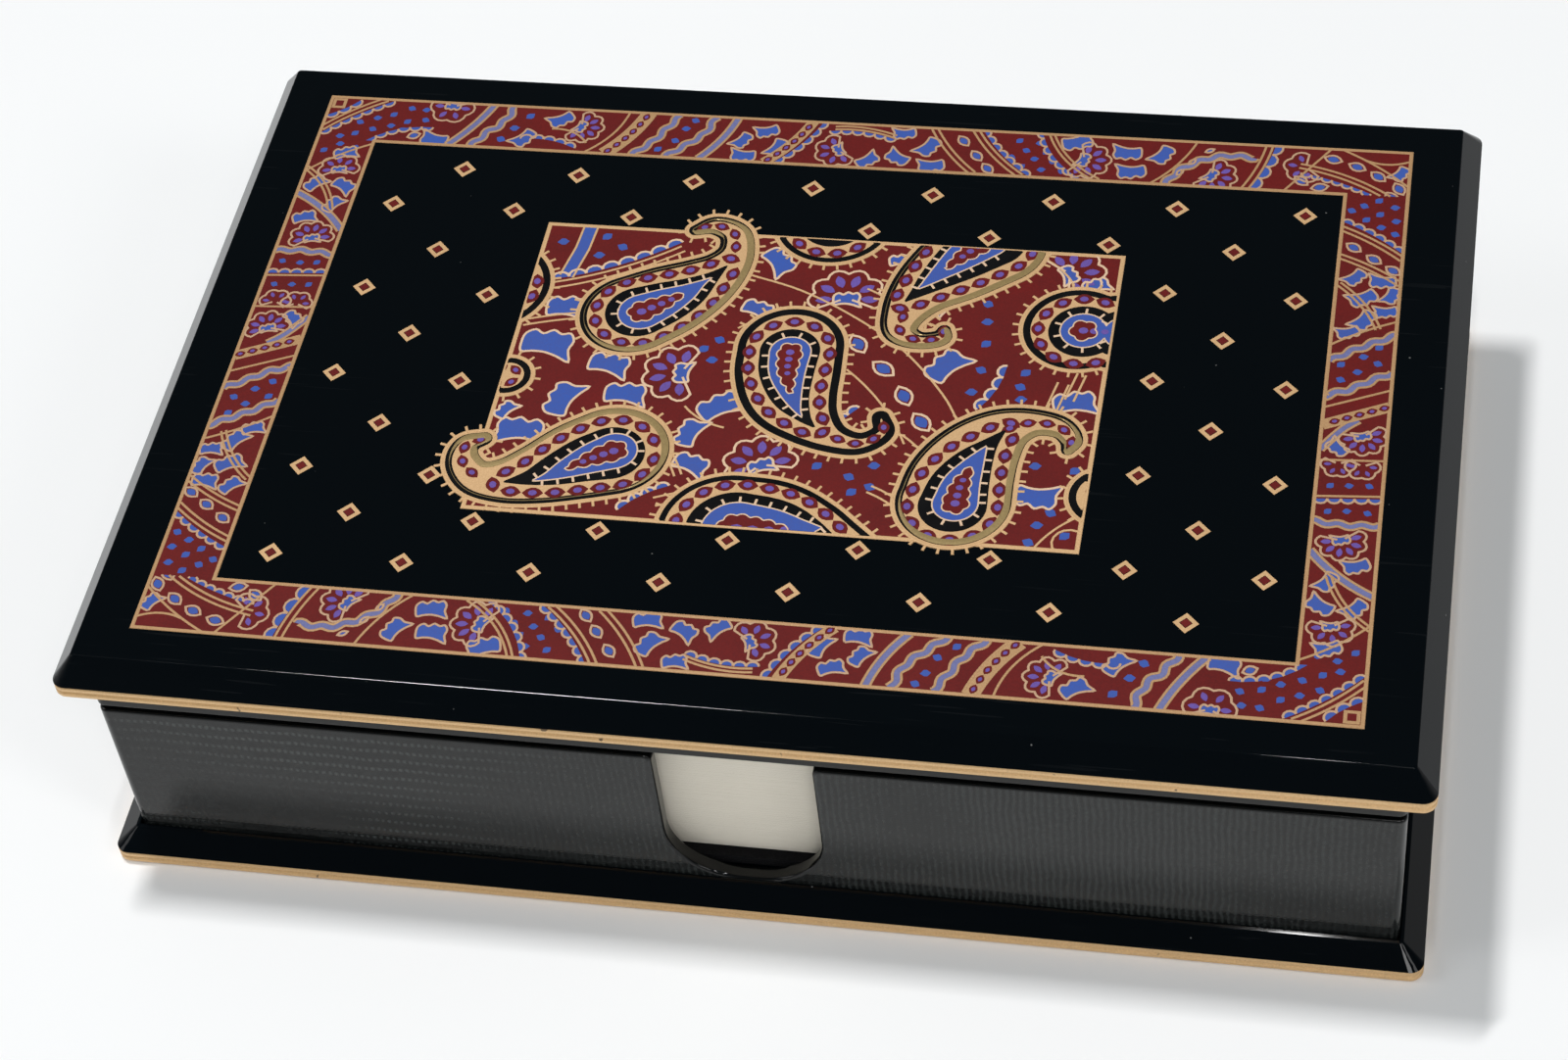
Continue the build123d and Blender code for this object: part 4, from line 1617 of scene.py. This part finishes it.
@dataclass
class Border:
    """The band of ornament round the lid, with its two frame lines. Half a turn brings it onto itself."""

    outer: Window = Window(-104.7, -67.8, 104.7, 67.8)
    inner: Window = Window(-93.35, -55.9, 93.35, 55.9)
    frame_width: float = 0.8
    frame_rise: float = 0.1
    thin: float = 0.55
    outline: float = 0.5
    square: Spot = (102.9, -66.0, 45.0)
    square_sizes: Point = (1.95, 1.05)

    def build(self, top: float) -> None:
        """Makes the border.

        Args:
            top: Height of the lid's face, in metres.
        """
        made = reliefs("border", FINISHES.ribbon, FINISHES.bronze, FINISHES.dusky)
        outer, inner = self.outer, self.inner
        front = Window(outer.low_x, outer.low_y, outer.high_x, inner.low_y)
        left = Window(outer.low_x, inner.low_y, inner.low_x, inner.high_y)
        for strip, motifs in ((front, FRONT_MOTIFS), (left, LEFT_MOTIFS)):
            for turned in (False, True):
                window = strip.turned() if turned else strip
                paint = Painter(*made, window, turned, self.thin, self.outline)
                paint.ground.plate(window.corners(), Layer.GROUND)
                paint.draw(motifs)
                if strip is front:
                    self.corner_square(paint)
        for window in (outer, inner):
            paint.gilt.line(window.corners(), self.frame_width, Layer.GROUND, self.frame_rise, closed=True)
        for relief in made:
            relief.build(top)

    def corner_square(self, paint: Painter) -> None:
        """Draws the gilt-framed maroon square at the front strip's right end.

        Args:
            paint: The strip's painter.
        """
        x, y, turn = self.square
        rows = ((paint.gilt, Layer.LINE), (paint.ground, Layer.EDGE))
        for half, (relief, layer) in zip(self.square_sizes, rows):
            paint.fill(relief, placed(ring(half, 1.0, 4), x, y, 1.0, turn), layer)


@dataclass
class Lattice:
    """The rows of small gilt diamonds on the black field."""

    half: float = 2.2
    heart: float = 1.0
    rim: float = 0.14
    even_rows: tuple[float, ...] = (49.5, 27.5, 5.5, -17.0, -38.5)
    odd_rows: tuple[float, ...] = (39.0, 16.5, -5.5, -28.5, -49.0)
    even_places: tuple[float, ...] = (-73.5, -51.0, -28.5, -5.5, 17.3, 40.0, 63.0, 86.5)
    odd_places: tuple[float, ...] = (-85.0, -61.3, -38.5, -15.6, 6.9, 29.4, 51.5, 74.4)
    hidden: tuple[Point, ...] = ((-15.6, 39.0),)
    clear: float = 1.5

    def build(self, top: float) -> None:
        """Makes the diamonds.

        Args:
            top: Height of the lid's face, in metres.
        """
        dark = self.heart + self.rim
        parts = ((Relief("lattice_diamonds", FINISHES.gilt, "gilt_edge"), self.half, Layer.GROUND),
                 (Relief("lattice_rings", FINISHES.black, "black_lacquer"), dark, Layer.ENAMEL),
                 (Relief("lattice_centres", FINISHES.maroon), self.heart, Layer.PETAL))
        spots = [(x, y) for y in self.even_rows for x in self.even_places]
        spots += [(x, y) for y in self.odd_rows for x in self.odd_places]
        for spot in spots:
            if PANEL.depth(*np.array(spot)) > -self.clear or spot in self.hidden:
                continue
            for relief, half, layer in parts:
                relief.plate(placed(ring(half, 1.0, 4), *spot), layer)
        for relief, _, _ in parts:
            relief.build(top)


# The box itself


@dataclass
class PaperStack:
    """The note paper, sheet by sheet, each a hair out of line with the next."""

    sheet: float = 0.00022
    filled: float = 0.93
    stray: float = 0.000008
    lean: float = 0.4
    seed: int = 7

    def build(self) -> None:
        """Makes the sheets in the place of the stack's node."""
        low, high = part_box("note_paper_stack")
        middle, half = (low + high) / 2, (high - low) / 2
        count = round((high.z - low.z) / self.sheet)
        pitch = (high.z - low.z) / count
        dice = random.Random(self.seed)
        sides = ((3, 2, 1, 0), (4, 5, 6, 7), (0, 1, 5, 4), (1, 2, 6, 5), (2, 3, 7, 6), (3, 0, 4, 7))
        points: list[Spot] = []
        faces: list[tuple[int, ...]] = []
        for k in range(count):
            shift = Vector((dice.uniform(-1, 1), dice.uniform(-1, 1) - self.lean, 0)) * self.stray
            z, first = low.z + k * pitch, len(points)
            for level in (z, z + pitch * self.filled):
                for sx, sy in ((-1, -1), (1, -1), (1, 1), (-1, 1)):
                    x = middle.x + sx * (half.x - self.stray) + shift.x
                    y = middle.y + sy * (half.y - self.stray) + shift.y
                    points.append((x, y, level))
            faces += [tuple(first + corner for corner in side) for side in sides]
        piece = mesh_piece("note_paper_sheets", points, faces)
        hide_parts("note_paper_stack")
        finish_piece(piece, FINISHES.paper, Body.TRAY)


@dataclass
class Screws:
    """The hinges' countersunk screws, with their slots."""

    head: float = 0.00125
    shank: float = 0.0006
    sink: float = 0.0006
    slot: Point = (0.0004, 0.00035)
    seed: int = 11
    smooth_below: float = 30.0

    def build(self) -> None:
        """Makes the screws of both leaves in the place of their nodes."""
        dice = random.Random(self.seed)
        for body in Body:
            node = f"hinge_{body.value}_screws"
            low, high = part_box(node)
            leaves = [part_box(name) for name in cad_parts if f"hinge_{body.value}_leaf" in name]
            centres = [(a.x + b.x) / 2 for a, b in leaves]
            offset = high.x - self.head - max(centres)
            places = [Vector((centre + side * offset, high.y, (low.z + high.z) / 2))
                      for centre in centres for side in (-1, 1)]
            pick(*[self.screw(place, high.y - low.y, dice) for place in places])
            bpy.ops.object.join()
            piece = bpy.context.active_object
            piece.name = f"{node}_slotted"
            bpy.ops.object.transform_apply(location=True, rotation=True, scale=True)
            bpy.context.scene.cursor.location = (0, 0, 0)
            bpy.ops.object.origin_set(type="ORIGIN_CURSOR")
            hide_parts(node)
            finish_piece(piece, FINISHES.brass, body, self.smooth_below)

    def screw(self, place: Vector, length: float, dice: random.Random) -> bpy.types.Object:
        """Makes one screw, its head at the back.

        Args:
            place: Middle of its head's face.
            length: Length from the head's face to the end.
            dice: Where the slot's turn comes from.

        Returns:
            Its object.
        """
        across = (math.radians(90), 0, 0)
        rest = length - self.sink
        head = place - Vector((0, self.sink / 2, 0))
        shank = place - Vector((0, self.sink + rest / 2, 0))
        bpy.ops.mesh.primitive_cone_add(vertices=32, radius1=self.head, radius2=self.shank, depth=self.sink,
                                        location=head, rotation=across)
        piece = bpy.context.active_object
        wide, deep = self.slot
        bpy.ops.mesh.primitive_cube_add(size=1.0, location=place, rotation=(0, dice.uniform(0, math.pi), 0))
        cutter = bpy.context.active_object
        cutter.scale = (4 * self.head, 2 * deep, wide)
        cut = piece.modifiers.new("slot", "BOOLEAN")
        cut.operation = "DIFFERENCE"
        cut.object = cutter
        pick(piece)
        bpy.ops.object.modifier_apply(modifier=cut.name)
        bpy.data.objects.remove(cutter)
        bpy.ops.mesh.primitive_cylinder_add(vertices=16, radius=self.shank, depth=rest, location=shank,
                                            rotation=across)
        pick(piece, bpy.context.active_object)
        bpy.ops.object.join()
        return piece


@dataclass
class Casework:
    """The modelled boards, walls, bands, linings and hinges, which only take their finishes."""

    looks: tuple[tuple[str, Finish], ...] = (
        ("felt", FINISHES.felt), ("bumpers", FINISHES.felt), ("lining", FINISHES.lining),
        ("band", FINISHES.edge), ("tray_wall", FINISHES.linen), ("rail", FINISHES.rail),
        ("paper", FINISHES.paper), ("hinge", FINISHES.brass), ("board", FINISHES.lacquer))

    def build(self) -> None:
        """Dresses every node by the words in its name."""
        for name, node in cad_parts.items():
            finish = next(finish for word, finish in self.looks if word in name)
            node.data.materials.clear()
            node.data.materials.append(material(finish))
            LOG.info("%s: %s", name, finish.name)


@dataclass
class Lamp:
    """One soft lamp, aimed at the box."""

    name: str
    place: Spot
    size: Point
    level: float
    aim: Spot = (0, 0, 0.03)

    def build(self) -> None:
        """Makes the lamp, bright enough to give its share of a plain light level at the box."""
        data = bpy.data.lights.new(self.name, "AREA")
        data.shape = "RECTANGLE"
        data.size, data.size_y = self.size
        place = Vector(self.place)
        data.energy = self.level * math.pi ** 2 * place.length_squared
        lamp = bpy.data.objects.new(self.name, data)
        lamp.location = place
        lamp.rotation_euler = (Vector(self.aim) - place).to_track_quat("-Z", "Y").to_euler()
        bpy.context.scene.collection.objects.link(lamp)


@dataclass
class Studio:
    """The pale floor, the lamps, the dim room and the camera."""

    floor_radius: float = 1.3
    floor_solid: float = 0.5
    floor_drop: float = 0.0001
    floor_pale: Colour = (0.90, 0.90, 0.90)
    floor_cloud: Colour = (0.88, 0.88, 0.88)
    room_low: Colour = (0.8, 0.8, 0.8)
    room_high: Colour = (0.1, 0.12, 0.13)
    room_fade: Point = (0.10, 0.40)
    camera_place: Spot = (0.1128, -0.4187, 0.5067)
    camera_turn: Spot = (41.2302, 5.0448, 9.9256)
    lens_length: float = 80.20
    sensor: float = 36.0
    shift: Point = (-0.0051, -0.0014)
    lamps: tuple[Lamp, ...] = (
        Lamp("key_lamp", (-0.37, 0.25, 2.0), (0.28, 0.06), 0.56),
        Lamp("right_spark", (0.055, -0.35, 2.0), (0.03, 0.2), 0.1),
        Lamp("front_lamp", (0.5, -1.45, 1.75), (0.8, 0.35), 0.22),
        Lamp("left_lamp", (-1.7, -0.5, 1.3), (0.7, 0.9), 0.12),
        Lamp("right_lamp", (1.6, -0.9, 1.5), (0.5, 0.7), 0.1))

    def build(self) -> None:
        """Sets the studio up."""
        self.floor()
        self.room()
        for lamp in self.lamps:
            lamp.build()
        self.camera()
        bpy.context.scene.view_settings.view_transform = "Standard"

    def floor(self) -> None:
        """Makes the floor, which fades into the pale room some way from the box."""
        bpy.ops.mesh.primitive_circle_add(vertices=96, radius=self.floor_radius, fill_type="NGON",
                                          location=(0, 0, -self.floor_drop))
        floor = bpy.context.active_object
        floor.name = "studio_floor"
        made = bpy.data.materials.new("studio_floor")
        made.use_nodes = True
        wire = Wiring(made.node_tree)
        shader = made.node_tree.nodes["Principled BSDF"].inputs
        place = wire.place()
        cloud = wire.span(wire.noise(place, 3.0), 0.3, 0.7)
        distance = wire.add("VectorMath", {0: place}, operation="LENGTH").outputs["Value"]
        wire.feed(shader["Base Color"], wire.mix(cloud, self.floor_pale, self.floor_cloud))
        wire.feed(shader["Alpha"], wire.span(distance, self.floor_solid, self.floor_radius, 1.0, 0.0))
        wire.feed(shader["Roughness"], 0.9)
        wire.feed(shader["Specular IOR Level"], 0.1)
        floor.data.materials.append(made)

    def room(self) -> None:
        """Makes the room: pale low down and dim above, which the lid mirrors."""
        world = bpy.data.worlds.new("studio_room")
        bpy.context.scene.world = world
        world.use_nodes = True
        wire = Wiring(world.node_tree)
        height = wire.axes(wire.add("TexCoord").outputs["Generated"])[2]
        colour = wire.mix(wire.span(height, *self.room_fade), self.room_low, self.room_high)
        wire.feed(world.node_tree.nodes["Background"].inputs["Color"], colour)

    def camera(self) -> None:
        """Makes the camera at the photograph's viewpoint."""
        data = bpy.data.cameras.new("photo_camera")
        data.sensor_width = self.sensor
        data.sensor_fit = "HORIZONTAL"
        data.lens = self.lens_length
        data.shift_x, data.shift_y = self.shift
        data.clip_start = 0.01
        camera = bpy.data.objects.new("photo_camera", data)
        camera.location = self.camera_place
        camera.rotation_euler = [math.radians(turn) for turn in self.camera_turn]
        bpy.context.scene.collection.objects.link(camera)
        bpy.context.scene.camera = camera


def main() -> None:
    """Builds the studio, dresses the box and lays the ornament on its lid."""
    logging.basicConfig(level=logging.INFO, format="%(message)s")
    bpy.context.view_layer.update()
    for work in (Studio(), Casework(), PaperStack(), Screws()):
        work.build()
    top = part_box("lid_board")[1].z
    for work in (Border(), Lattice(), Panel(), PaisleyWork()):
        work.build(top)


if __name__ == "__main__":
    main()
